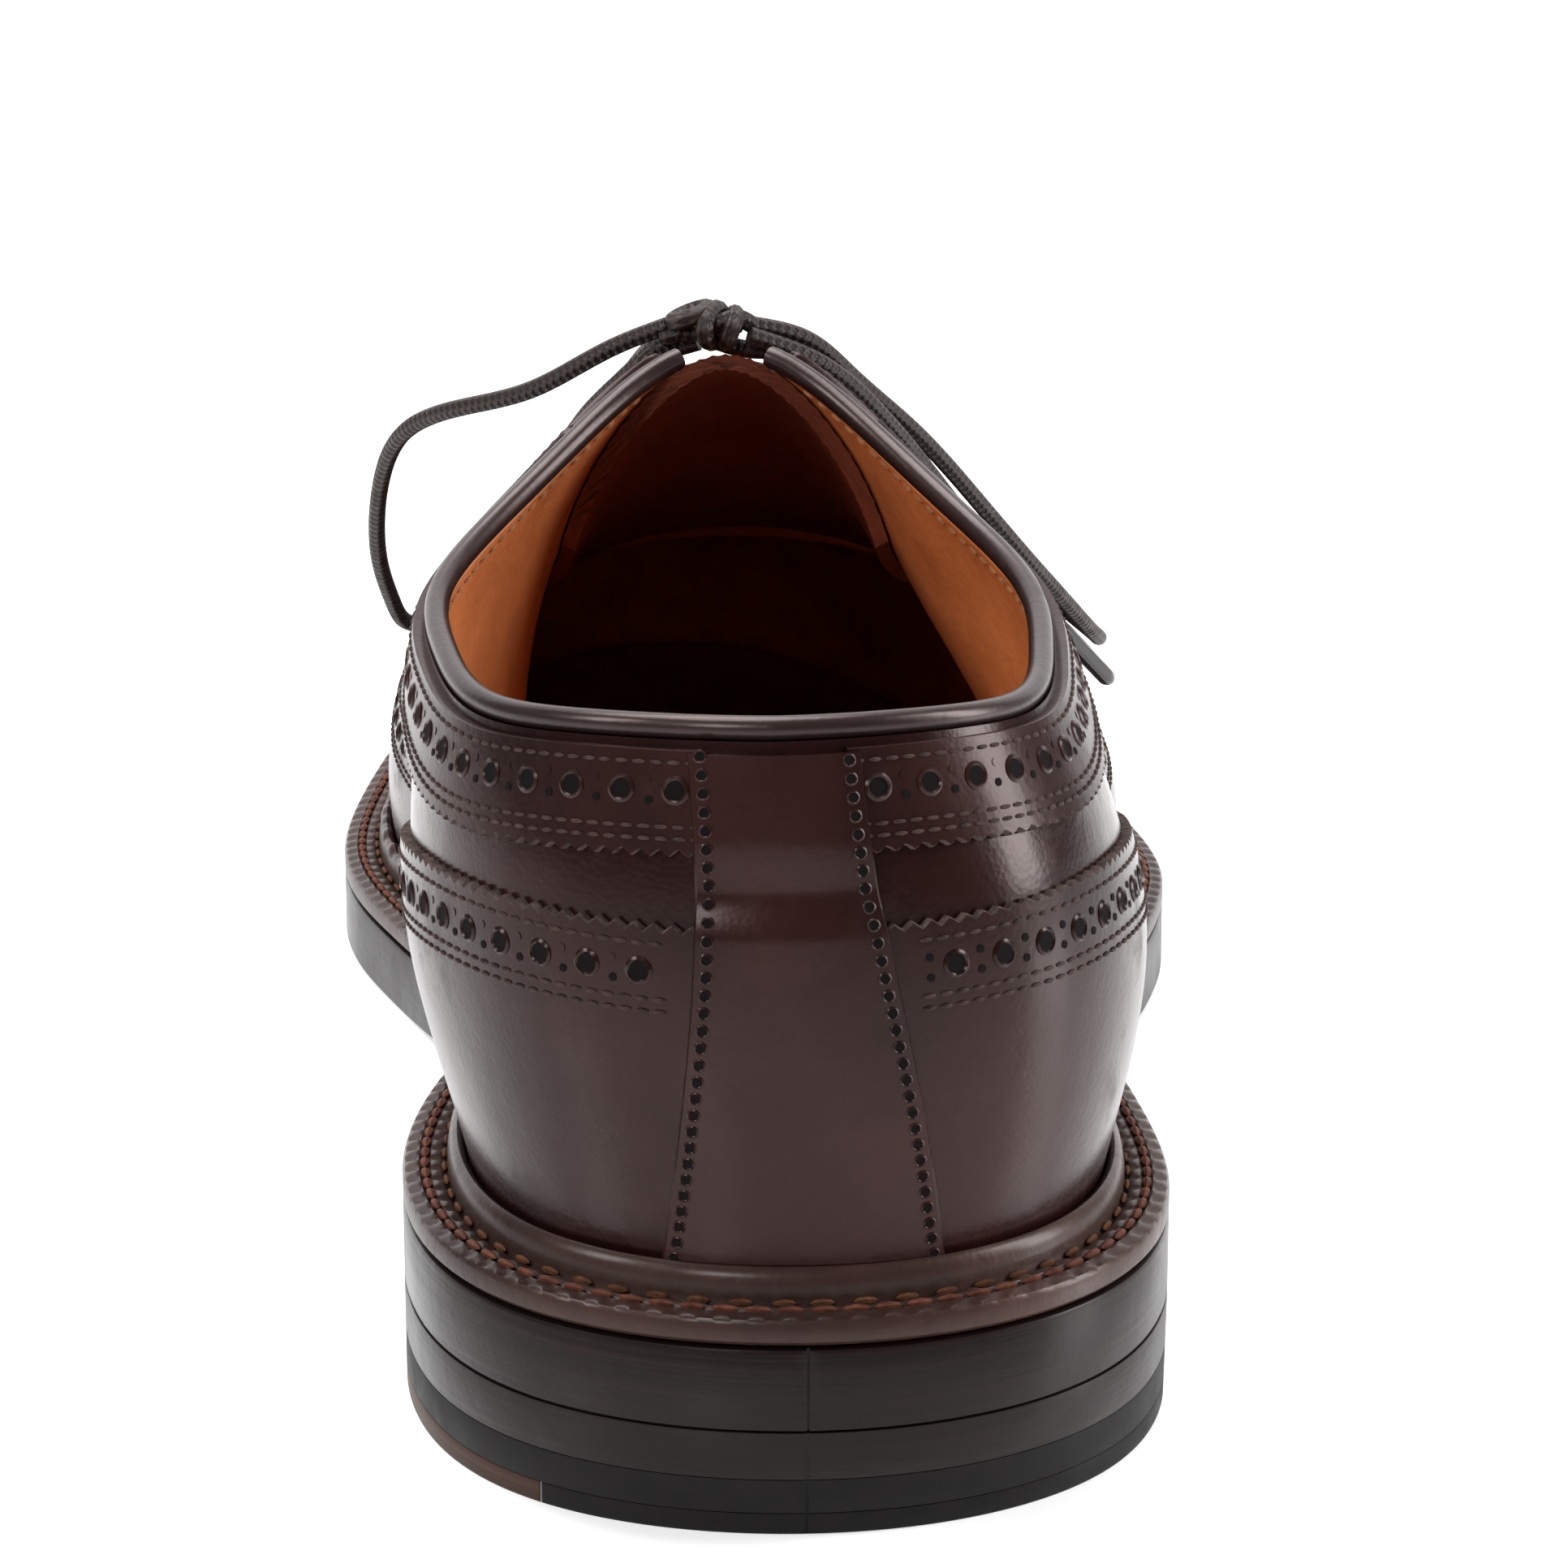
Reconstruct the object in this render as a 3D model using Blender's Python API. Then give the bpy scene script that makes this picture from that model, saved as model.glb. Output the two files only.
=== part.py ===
"""Longwing brogue for the right foot: lasted upper with overlays, tongue, insole, storm welt,
leather sole, stacked heel and laces.

+Z is up, +Y runs to the toe and +X to the lateral side. The origin lies on the ground, under
the middle of the sole's outline.
"""
import math
from collections import namedtuple

import bmesh
import bpy
import numpy as np
from mathutils import Vector

# Sole, seen from above
SOLE_LENGTH = 0.315
BALL_WIDTH = 0.116
HEEL_WIDTH = 0.0843
HEEL_LENGTH = 0.078

# Sole, seen from the side
TOPLIFT_THICKNESS = 0.007
STACK_THICKNESS = 0.0054
OUTSOLE_THICKNESS = 0.0092
WELT_THICKNESS = 0.003
TOE_SPRING = 0.009
SPRING_CURVE = 1.8
HEEL_RAKE = 0.004
TREAD_START = 0.185
TREAD_END = 0.222
GAP = 0.0003

# Leather corner at the medial side of the toplift
CORNER_THICKNESS = 0.0027
CORNER_WIDTH = 0.0145

# Storm welt
WELT_SHOW = 0.0048
WELT_SLOPE = 0.0005
BEAD_WIDTH = 0.0025
BEAD_HEIGHT = 0.0034
BEAD_TAPER = 0.0012
WELT_UNDER_UPPER = 0.0105

# Upper
WALL = 0.0022
INSTEP_HEIGHT = 0.107
COLLAR_HEIGHT = 0.087
OVERLAY = 0.0011
STRIP_THICKNESS = 0.0014
THROAT_TOP = 0.109
THROAT_END = 0.172
THROAT_CORNER = 0.012
CORNER_STATIONS = 0.045
LEAN_TOP = 0.75
LEAN_CURVE = 1.5
THROAT_GAP_TOP = 0.0085
THROAT_GAP_END = 0.006
BINDING_RADIUS = 0.0013
EDGE_BELOW_TOPLINE = 0.0032
STRIP_WIDTH_TOP = 0.0175
STRIP_WIDTH_BOTTOM = 0.030
COLLAR_BAND_WIDTH = 0.0135
FACING_WIDTH = 0.021
FACING_GAP = 0.0006
OVERLAY_CLEARANCE = 0.0009
STRIP_START = 0.125
STRIP_NARROW_FROM = 0.62
BAND_END = 0.28
FACING_START = 0.40

# Tongue and insole
TONGUE_THICKNESS = 0.0018
TONGUE_SLACK = 0.0013
TONGUE_HALF_WIDTH = 0.029
TONGUE_TOP = 0.107
TONGUE_BOTTOM = 0.190
INSOLE_THICKNESS = 0.003

# Laces
LACE_RADIUS = 0.0011
LACE_ROWS = 4
FIRST_ROW = 0.1290
ROW_PITCH = 0.0125
EYELET_FROM_EDGE = 0.0065
KNOT_SIZE = (0.0092, 0.0070, 0.0052)
KNOT_PLACE = (-0.0060, 0.1186, 0.1073)
AGLET_RADIUS = 0.0012
AGLET_LENGTH = 0.022

# Outline of the sole: along = share of the length, centre = share of the ball width,
# heel and ball = shares of half the heel width and half the ball width
OUTLINE_COLUMNS = ("along", "centre", "heel", "ball")
OUTLINE = (
    (0.000, 0.000, 0.000, 0.000),
    (0.038, 0.000, 0.703, 0.000),
    (0.132, 0.000, 1.000, 0.000),
    (0.238, 0.004, 0.955, 0.010),
    (0.349, 0.028, 0.550, 0.232),
    (0.460, 0.040, 0.200, 0.559),
    (0.571, 0.045, 0.000, 0.874),
    (0.651, 0.034, 0.000, 0.983),
    (0.705, 0.022, 0.000, 1.000),
    (0.794, 0.002, 0.000, 0.930),
    (0.889, -0.034, 0.000, 0.740),
    (0.959, -0.052, 0.000, 0.495),
    (1.000, -0.056, 0.000, 0.000),
)

# Crest of the last, for the rib that starts at each place along the featherline:
# spine_y = share of the length, spine_x = share of the ball width, spine_z = share of the instep height
SPINE_COLUMNS = ("along", "spine_y", "spine_x", "spine_z")
SPINE = (
    (0.00, 0.127, -0.034, 1.185),
    (0.04, 0.131, -0.038, 1.185),
    (0.13, 0.152, -0.047, 1.180),
    (0.22, 0.222, -0.047, 1.130),
    (0.35, 0.346, -0.038, 1.000),
    (0.50, 0.492, -0.018, 0.800),
    (0.62, 0.610, 0.000, 0.655),
    (0.72, 0.705, 0.000, 0.572),
    (0.82, 0.786, -0.013, 0.518),
    (0.91, 0.842, -0.036, 0.484),
    (0.97, 0.865, -0.050, 0.462),
    (1.00, 0.870, -0.054, 0.456),
)

# Form of a rib between featherline and crest: up = share of the rib's height, in = share of
# the way in to the crest, at five levels
RIB_COLUMNS = ("along", "up1", "in1", "up2", "in2", "up3", "in3", "up4", "in4", "up5", "in5")
RIBS = (
    (0.00, 0.05, -0.02, 0.22, -0.095, 0.42, -0.090, 0.66, 0.050, 0.88, 0.36),
    (0.10, 0.05, -0.03, 0.22, -0.130, 0.42, -0.110, 0.66, 0.110, 0.88, 0.40),
    (0.15, 0.05, -0.03, 0.22, -0.150, 0.42, -0.125, 0.66, 0.080, 0.88, 0.41),
    (0.22, 0.05, -0.03, 0.22, -0.160, 0.42, -0.145, 0.66, 0.000, 0.88, 0.42),
    (0.35, 0.06, -0.04, 0.22, -0.150, 0.42, -0.120, 0.66, 0.110, 0.88, 0.46),
    (0.50, 0.08, -0.03, 0.24, -0.070, 0.45, -0.030, 0.70, 0.170, 0.90, 0.50),
    (0.62, 0.10, -0.02, 0.28, -0.020, 0.52, 0.060, 0.76, 0.250, 0.93, 0.56),
    (0.72, 0.12, -0.015, 0.30, -0.005, 0.55, 0.080, 0.78, 0.270, 0.94, 0.57),
    (0.82, 0.14, -0.01, 0.32, -0.005, 0.57, 0.075, 0.80, 0.260, 0.95, 0.56),
    (0.91, 0.15, -0.01, 0.34, -0.005, 0.60, 0.075, 0.82, 0.255, 0.95, 0.55),
    (1.00, 0.16, -0.01, 0.35, -0.005, 0.62, 0.075, 0.83, 0.255, 0.95, 0.55),
)
RIB_KNOTS = (0.0, 0.12, 0.30, 0.50, 0.70, 0.86, 1.0)

# Topline: along = share of the length, height = share of the collar height
TOPLINE_COLUMNS = ("along", "height")
TOPLINE = (
    (0.000, 1.004),
    (0.032, 1.000),
    (0.080, 0.980),
    (0.145, 0.990),
    (0.210, 1.025),
    (0.270, 1.090),
    (0.320, 1.185),
    (0.346, 1.255),
    (0.380, 1.360),
)

# Edge of the long wing. For the rib that starts at each station of the featherline: the station
# and the share of the rib where the edge passes, and the station at which the upper's top is met
WING_COLUMNS = ("base", "edge_station", "edge_share", "top_station")
WING = (
    (0.00, 0.000, 0.375, 0.000),
    (0.16, 0.160, 0.380, 0.160),
    (0.26, 0.260, 0.350, 0.260),
    (0.36, 0.360, 0.335, 0.360),
    (0.46, 0.460, 0.345, 0.460),
    (0.55, 0.556, 0.400, 0.540),
    (0.60, 0.622, 0.470, 0.575),
    (0.65, 0.682, 0.590, 0.605),
    (0.69, 0.712, 0.745, 0.632),
    (0.72, 0.706, 0.880, 0.655),
    (0.75, 0.684, 1.000, 0.684),
    (0.85, 0.800, 1.000, 0.800),
    (1.00, 1.000, 1.000, 1.000),
)
WING_PEAK_BASE = 0.75

# Routes of the lace outside the knot, as points on the way from the knot, metres, heel at y = 0
LOOP_MEDIAL = (
    (-0.0110, 0.1186, 0.1072), (-0.0175, 0.1200, 0.1044), (-0.0272, 0.1240, 0.0986),
    (-0.0360, 0.1300, 0.0952), (-0.0428, 0.1380, 0.0910), (-0.0466, 0.1480, 0.0825),
    (-0.0476, 0.1600, 0.0700), (-0.0462, 0.1705, 0.0612), (-0.0428, 0.1785, 0.0566),
    (-0.0382, 0.1805, 0.0596), (-0.0340, 0.1745, 0.0672), (-0.0292, 0.1610, 0.0750),
    (-0.0252, 0.1470, 0.0830), (-0.0205, 0.1340, 0.0935), (-0.0155, 0.1265, 0.1000),
    (-0.0108, 0.1216, 0.1057),
)
LOOP_LATERAL = (
    (-0.0011, 0.1190, 0.1072), (0.0051, 0.1208, 0.1054), (0.0115, 0.1258, 0.0997),
    (0.0195, 0.1330, 0.0915), (0.0282, 0.1420, 0.0808), (0.0358, 0.1505, 0.0708),
    (0.0425, 0.1620, 0.0618), (0.0472, 0.1730, 0.0552), (0.0483, 0.1800, 0.0532),
    (0.0458, 0.1855, 0.0545), (0.0408, 0.1850, 0.0588), (0.0355, 0.1800, 0.0645),
    (0.0295, 0.1690, 0.0715), (0.0243, 0.1560, 0.0782), (0.0186, 0.1425, 0.0866),
    (0.0125, 0.1310, 0.0960), (0.0060, 0.1250, 0.1020), (0.0000, 0.1220, 0.1053),
)
END_MEDIAL = (
    (-0.0072, 0.1223, 0.1067), (-0.0108, 0.1308, 0.1037), (-0.0138, 0.1410, 0.0990),
    (-0.0180, 0.1515, 0.0912), (-0.0228, 0.1625, 0.0826), (-0.0270, 0.1730, 0.0748),
)
END_LATERAL = (
    (-0.0012, 0.1167, 0.1063), (0.0065, 0.1188, 0.1030), (0.0140, 0.1243, 0.0962),
    (0.0220, 0.1340, 0.0855), (0.0290, 0.1450, 0.0750), (0.0330, 0.1522, 0.0690),
    (0.0382, 0.1585, 0.0626),
)
LACE_POINT_SPACING = 0.0052

# How finely the shells are drawn
UPPER_COLUMNS_DRAWN = 84
WING_ROWS = 8
QUARTER_ROWS = 6
SOLE_STATIONS = 40
SLOPE_STEP = 0.004
RIB_STEPS = 80
HEEL_STATIONS = 16
SOLE_ENDS = (0.01, 0.99)
INSOLE_ENDS = (0.015, 0.985)
SHARP_EDGE_DEGREES = 35
MERGE_DISTANCE = 0.00001

# Finishes: base colour, roughness, metallic
FINISHES = {
    "cordovan": ((0.030, 0.014, 0.013), 0.22, 0.0),
    "cordovan_overlay": ((0.034, 0.015, 0.014), 0.24, 0.0),
    "binding_leather": ((0.026, 0.016, 0.016), 0.30, 0.0),
    "welt_leather": ((0.038, 0.018, 0.015), 0.45, 0.0),
    "sole_leather": ((0.022, 0.012, 0.011), 0.35, 0.0),
    "heel_leather": ((0.020, 0.012, 0.011), 0.32, 0.0),
    "toplift_rubber": ((0.014, 0.013, 0.013), 0.55, 0.0),
    "corner_leather": ((0.050, 0.026, 0.020), 0.50, 0.0),
    "tongue_leather": ((0.070, 0.022, 0.014), 0.40, 0.0),
    "insole_leather": ((0.420, 0.180, 0.060), 0.60, 0.0),
    "waxed_lace": ((0.040, 0.026, 0.022), 0.60, 0.0),
    "aglet_plastic": ((0.015, 0.010, 0.010), 0.25, 0.0),
}


class Spline:
    """Natural cubic spline through rows of values."""

    def __init__(self, knots, values):
        self.knots = np.array(knots, dtype=float)
        self.values = np.array(values, dtype=float)
        count = len(self.knots)
        steps = np.diff(self.knots)
        matrix = np.eye(count)
        right = np.zeros_like(self.values)
        for i in range(1, count - 1):
            matrix[i, i - 1] = steps[i - 1]
            matrix[i, i] = 2 * (steps[i - 1] + steps[i])
            matrix[i, i + 1] = steps[i]
            rise = (self.values[i + 1] - self.values[i]) / steps[i]
            fall = (self.values[i] - self.values[i - 1]) / steps[i - 1]
            right[i] = 6 * (rise - fall)
        self.bend = np.linalg.solve(matrix, right)

    def at(self, x):
        i = int(np.searchsorted(self.knots, x) - 1)
        i = min(max(i, 0), len(self.knots) - 2)
        step = self.knots[i + 1] - self.knots[i]
        a = (self.knots[i + 1] - x) / step
        b = 1 - a
        bend = (a ** 3 - a) * self.bend[i] + (b ** 3 - b) * self.bend[i + 1]
        return a * self.values[i] + b * self.values[i + 1] + bend * step ** 2 / 6


def station(along):
    """Place along the featherline, 0 at the heel and 1 at the toe, of a share of the length."""
    return math.acos(1 - 2 * along) / math.pi


class Table:
    """Rows under named columns, read between the rows by a spline over the first column."""

    def __init__(self, name, columns, rows, knot=float):
        self.row = namedtuple(name, columns[1:])
        self.spline = Spline([knot(row[0]) for row in rows], [row[1:] for row in rows])

    def at(self, x):
        return self.row(*self.spline.at(x))


OUTLINE_TABLE = Table("OutlineRow", OUTLINE_COLUMNS, OUTLINE, station)
SPINE_TABLE = Table("SpineRow", SPINE_COLUMNS, SPINE, station)
RIB_TABLE = Table("RibRow", RIB_COLUMNS, RIBS, station)
TOPLINE_TABLE = Table("ToplineRow", TOPLINE_COLUMNS, TOPLINE)
WING_TABLE = Table("WingRow", WING_COLUMNS, WING)

SEAT_HEIGHT = TOPLIFT_THICKNESS + STACK_THICKNESS + 2 * GAP
WELT_TOP = OUTSOLE_THICKNESS + GAP + WELT_THICKNESS
FEATHER_INSET = WELT_SHOW + BEAD_WIDTH + GAP + OVERLAY


def outline_point(s, side, inset=0.0):
    """Point of the sole's outline at station s, on side -1 (medial) or 1 (lateral), moved inwards."""
    def edge(place):
        mirrored = side if 0 <= place <= 1 else -side
        folded = -place if place < 0 else (2 - place if place > 1 else place)
        row = OUTLINE_TABLE.at(folded)
        half = row.heel * HEEL_WIDTH / 2 + row.ball * BALL_WIDTH / 2
        x = row.centre * BALL_WIDTH + mirrored * half
        y = SOLE_LENGTH * (1 - math.cos(math.pi * folded)) / 2
        return Vector((x, y))
    point = edge(s)
    if inset == 0:
        return point
    along = edge(s + SLOPE_STEP) - edge(s - SLOPE_STEP)
    inwards = Vector((-along.y, along.x)) * side
    return point + inwards.normalized() * inset


def tread_height(y):
    """Height of the sole's underside: seat over the heel, flat tread, toe spring."""
    if y <= HEEL_LENGTH:
        return SEAT_HEIGHT
    if y < TREAD_START:
        share = (y - HEEL_LENGTH) / (TREAD_START - HEEL_LENGTH)
        return SEAT_HEIGHT * (0.5 + 0.5 * math.cos(math.pi * share))
    if y <= TREAD_END:
        return 0.0
    share = (y - TREAD_END) / (SOLE_LENGTH - TREAD_END)
    return TOE_SPRING * share ** SPRING_CURVE


def smooth_share(x):
    x = min(max(x, 0.0), 1.0)
    return x * x * (3 - 2 * x)


def rib_levels(s):
    """Spline across the whole rib at station s: how far out and how far up, from side to side."""
    row = RIB_TABLE.at(s)
    ups = [0.0, row.up1, row.up2, row.up3, row.up4, row.up5, 1.0]
    outs = [1.0, 1 - row.in1, 1 - row.in2, 1 - row.in3, 1 - row.in4, 1 - row.in5, 0.0]
    knots = [*RIB_KNOTS, *(2 - knot for knot in reversed(RIB_KNOTS[:-1]))]
    rows = list(zip(outs, ups)) + [(-out, up) for out, up in reversed(list(zip(outs, ups))[:-1])]
    return Spline(knots, rows)


RIB_CACHE = {}


def upper_point(s, t):
    """Point of the last's surface: s runs round the featherline, t over the rib.

    s is 0 at the heel and 1 at the toe on the medial side, and goes on to 2 along the lateral
    side. t is 0 at the featherline, 1 at the crest and 2 at the other side's featherline.
    """
    if s < 0:
        return upper_point(-s, 2 - t)
    if s > 1:
        return upper_point(2 - s, 2 - t)
    key = round(s, 9)
    if key not in RIB_CACHE:
        medial = outline_point(s, -1, FEATHER_INSET)
        lateral = outline_point(s, 1, FEATHER_INSET)
        RIB_CACHE[key] = (rib_levels(s), medial, lateral, SPINE_TABLE.at(s))
    rib, medial, lateral, spine = RIB_CACHE[key]
    out, up = rib.at(t)
    foot = medial if t <= 1 else lateral
    centre = Vector(((medial.x + lateral.x) / 2, spine.spine_y * SOLE_LENGTH))
    flat = centre + (foot - centre) * abs(out)
    lean = smooth_share(up / LEAN_TOP) ** LEAN_CURVE
    x = flat.x + (spine.spine_x * BALL_WIDTH - centre.x) * lean
    low = tread_height(foot.y) + WELT_TOP + GAP
    return Vector((x, flat.y, low + (spine.spine_z * INSTEP_HEIGHT - low) * up))


def upper_normal(s, t):
    """Outward direction of the last's surface."""
    near = 5 * SLOPE_STEP
    at_pole = abs(s - 1) < near and abs(t - 1) < near
    t = 1 - near if at_pole else t
    along = upper_point(s + SLOPE_STEP, t) - upper_point(s - SLOPE_STEP, t)
    low = max(t - SLOPE_STEP, 0.0)
    high = min(t + SLOPE_STEP, 2.0)
    across = upper_point(s, high) - upper_point(s, low)
    return across.cross(along).normalized()


def lifted_point(s, t, lift):
    return upper_point(s, t) + upper_normal(s, t) * lift


def topline_height(y):
    return TOPLINE_TABLE.at(y / SOLE_LENGTH).height * COLLAR_HEIGHT


def throat_half_gap(y):
    share = (y - THROAT_TOP) / (THROAT_END - THROAT_TOP)
    return (THROAT_GAP_TOP + (THROAT_GAP_END - THROAT_GAP_TOP) * share) / 2


EDGE_CACHE = {}


def top_edge(s):
    """Share of the rib at which the collar or the throat cuts the upper, 1 where it isn't cut."""
    key = round(s, 9)
    if key in EDGE_CACHE:
        return EDGE_CACHE[key]
    folded = s if s <= 1 else 2 - s
    crest_x = SPINE_TABLE.at(folded).spine_x * BALL_WIDTH
    found = 1.0
    before = None
    for i in range(RIB_STEPS + 1):
        t = i / RIB_STEPS
        point = upper_point(s, t)
        value = -1.0
        if point.y < THROAT_TOP + THROAT_CORNER:
            value = point.z - topline_height(point.y)
        if THROAT_TOP - THROAT_CORNER < point.y < THROAT_END:
            value = max(value, throat_half_gap(point.y) - abs(point.x - crest_x))
        if value >= 0:
            back = 0 if before is None else value / (value - before)
            found = t - back / RIB_STEPS
            break
        before = value
    EDGE_CACHE[key] = found
    return found


def down_the_rib(s, start, distance):
    """Share of the rib that lies a distance below the share start."""
    step = 1 / RIB_STEPS
    point = upper_point(s, start)
    left = distance
    t = start
    while t > step:
        following = upper_point(s, t - step)
        length = (following - point).length
        if length >= left:
            return t - step * left / length
        left -= length
        t -= step
        point = following
    return 0.0


def crest_station(y):
    """Station whose crest stands at y."""
    low = 0.0
    high = 1.0
    for _ in range(40):
        middle = (low + high) / 2
        if SPINE_TABLE.at(middle).spine_y * SOLE_LENGTH < y:
            low = middle
        else:
            high = middle
    return (low + high) / 2


def outline_centre():
    """Middle of the sole's outline, seen from above."""
    stations = [i / SOLE_STATIONS for i in range(SOLE_STATIONS + 1)]
    lowest = min(outline_point(s, -1).x for s in stations)
    highest = max(outline_point(s, 1).x for s in stations)
    return (lowest + highest) / 2


def material(name):
    colour, roughness, metallic = FINISHES[name]
    made = bpy.data.materials.new(name)
    made.use_nodes = True
    shader = made.node_tree.nodes["Principled BSDF"]
    shader.inputs["Base Color"].default_value = (*colour, 1.0)
    shader.inputs["Roughness"].default_value = roughness
    shader.inputs["Metallic"].default_value = metallic
    return made


class Shoe:
    """Collections, the empty that carries the parts, and the finishes."""

    def __init__(self):
        self.parts = bpy.data.collections.new("longwing_brogue")
        self.cutters = bpy.data.collections.new("cutters")
        for collection in (self.parts, self.cutters):
            bpy.context.scene.collection.children.link(collection)
        self.origin = bpy.data.objects.new("shoe_origin", None)
        self.origin.location = (-outline_centre(), -SOLE_LENGTH / 2, 0)
        self.parts.objects.link(self.origin)
        self.finishes = {name: material(name) for name in FINISHES}

    def add(self, name, mesh, finish):
        mesh.materials.append(self.finishes[finish])
        thing = bpy.data.objects.new(name, mesh)
        thing.parent = self.origin
        self.parts.objects.link(thing)
        return thing

    def add_cutter(self, name, mesh):
        thing = bpy.data.objects.new(name, mesh)
        thing.parent = self.origin
        thing.hide_render = True
        thing.display_type = "WIRE"
        self.cutters.objects.link(thing)
        return thing


def mesh_from(bm, name, smooth=True):
    bmesh.ops.recalc_face_normals(bm, faces=bm.faces[:])
    mesh = bpy.data.meshes.new(name)
    bm.to_mesh(mesh)
    bm.free()
    if smooth:
        mesh.shade_smooth()
        mesh.set_sharp_from_angle(angle=math.radians(SHARP_EDGE_DEGREES))
    return mesh


def shell(name, columns, rows, place, inner):
    """Closed panel on the last: a grid laid by place(column, row) -> (s, t, lift), and its inner side."""
    bm = bmesh.new()
    bmesh.ops.create_grid(bm, x_segments=columns, y_segments=rows, size=1.0)
    along = bm.verts.layers.float.new("s")
    over = bm.verts.layers.float.new("t")
    for vertex in bm.verts:
        column = round((vertex.co.x + 1) / 2 * columns)
        row = round((vertex.co.y + 1) / 2 * rows)
        s, t, lift = place(column, row)
        vertex[along] = s
        vertex[over] = t
        vertex.co = lifted_point(s, t, lift)
    bmesh.ops.remove_doubles(bm, verts=bm.verts[:], dist=MERGE_DISTANCE)
    raised = bmesh.ops.extrude_face_region(bm, geom=bm.faces[:])
    inner_side = [item for item in raised["geom"] if isinstance(item, bmesh.types.BMVert)]
    for vertex in inner_side:
        vertex.co = lifted_point(vertex[along], vertex[over], inner)
    bmesh.ops.remove_doubles(bm, verts=inner_side, dist=MERGE_DISTANCE)
    return mesh_from(bm, name)


def plate(name, ends, stations, inset, low, high):
    """Closed plate between two stations of the outline, with its faces at low(point) and high(point)."""
    first, last = ends
    bm = bmesh.new()
    rings = []
    for i in range(stations + 1):
        s = first + (last - first) * i / stations
        medial = outline_point(s, -1, inset)
        lateral = outline_point(s, 1, inset)
        corners = (low(medial), low(lateral), high(lateral), high(medial))
        rings.append([bm.verts.new(corner) for corner in corners])
    for ring, following in zip(rings, rings[1:]):
        for i in range(4):
            j = (i + 1) % 4
            bm.faces.new((ring[i], ring[j], following[j], following[i]))
    bm.faces.new(rings[0])
    bm.faces.new(rings[-1])
    return mesh_from(bm, name)


def add_sole(shoe):
    def under(point):
        return Vector((point.x, point.y, tread_height(point.y)))

    def top(point):
        return Vector((point.x, point.y, tread_height(point.y) + OUTSOLE_THICKNESS))

    mesh = plate("outsole", SOLE_ENDS, SOLE_STATIONS, 0.0, under, top)
    shoe.add("outsole", mesh, "sole_leather")


def add_insole(shoe):
    inset = FEATHER_INSET + WALL + 2 * GAP

    def under(point):
        return Vector((point.x, point.y, tread_height(point.y) + WELT_TOP + GAP))

    def top(point):
        return under(point) + Vector((0, 0, INSOLE_THICKNESS))

    mesh = plate("insole", INSOLE_ENDS, SOLE_STATIONS, inset, under, top)
    shoe.add("insole", mesh, "insole_leather")


def add_welt(shoe):
    """Ring round the whole shoe, with the raised bead of a storm welt against the upper."""
    section = (
        (0.0, 0.0),
        (0.0, WELT_THICKNESS),
        (WELT_SHOW, WELT_THICKNESS + WELT_SLOPE),
        (WELT_SHOW, WELT_THICKNESS + BEAD_HEIGHT - BEAD_TAPER / 2),
        (WELT_SHOW + BEAD_TAPER / 2, WELT_THICKNESS + BEAD_HEIGHT),
        (WELT_SHOW + BEAD_WIDTH - BEAD_TAPER, WELT_THICKNESS + BEAD_HEIGHT),
        (WELT_SHOW + BEAD_WIDTH, WELT_THICKNESS),
        (FEATHER_INSET + WELT_UNDER_UPPER, WELT_THICKNESS),
        (FEATHER_INSET + WELT_UNDER_UPPER, 0.0),
    )
    bm = bmesh.new()
    rings = []
    places = [(i / SOLE_STATIONS, -1) for i in range(SOLE_STATIONS + 1)]
    places += [(i / SOLE_STATIONS, 1) for i in range(SOLE_STATIONS - 1, 0, -1)]
    for s, side in places:
        ring = []
        for inset, rise in section:
            flat = outline_point(s, side, inset)
            height = tread_height(flat.y) + OUTSOLE_THICKNESS + GAP + rise
            ring.append(bm.verts.new((flat.x, flat.y, height)))
        rings.append(ring)
    for index, ring in enumerate(rings):
        following = rings[(index + 1) % len(rings)]
        for i in range(len(section)):
            j = (i + 1) % len(section)
            bm.faces.new((ring[i], ring[j], following[j], following[i]))
    shoe.add("welt", mesh_from(bm, "welt"), "welt_leather")


def heel_point(point, height):
    """Heel outline at a height: the back leans in towards the ground."""
    share = (1 - height / SEAT_HEIGHT) * (1 - point.y / HEEL_LENGTH)
    return Vector((point.x, point.y + HEEL_RAKE * max(share, 0.0), height))


def heel_layer(name, low, high):
    ends = (SOLE_ENDS[0], station(HEEL_LENGTH / SOLE_LENGTH))
    return plate(name, ends, HEEL_STATIONS, 0.0,
                 lambda point: heel_point(point, low), lambda point: heel_point(point, high))


def corner_box(name, grow):
    """Block over the medial strip of the toplift that the leather corner takes up."""
    inner_x = -HEEL_WIDTH / 2 + CORNER_WIDTH + grow
    outer_x = -HEEL_WIDTH
    top = CORNER_THICKNESS + grow
    bottom = -CORNER_THICKNESS
    bm = bmesh.new()
    bmesh.ops.create_cube(bm, size=1.0)
    bmesh.ops.scale(bm, vec=(inner_x - outer_x, 2 * HEEL_LENGTH, top - bottom), verts=bm.verts[:])
    middle = ((inner_x + outer_x) / 2, HEEL_LENGTH / 2, (top + bottom) / 2)
    bmesh.ops.translate(bm, vec=middle, verts=bm.verts[:])
    return mesh_from(bm, name, smooth=False)


def boolean(thing, cutter, operation):
    modifier = thing.modifiers.new("cut", "BOOLEAN")
    modifier.operation = operation
    modifier.solver = "EXACT"
    modifier.object = cutter


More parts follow.
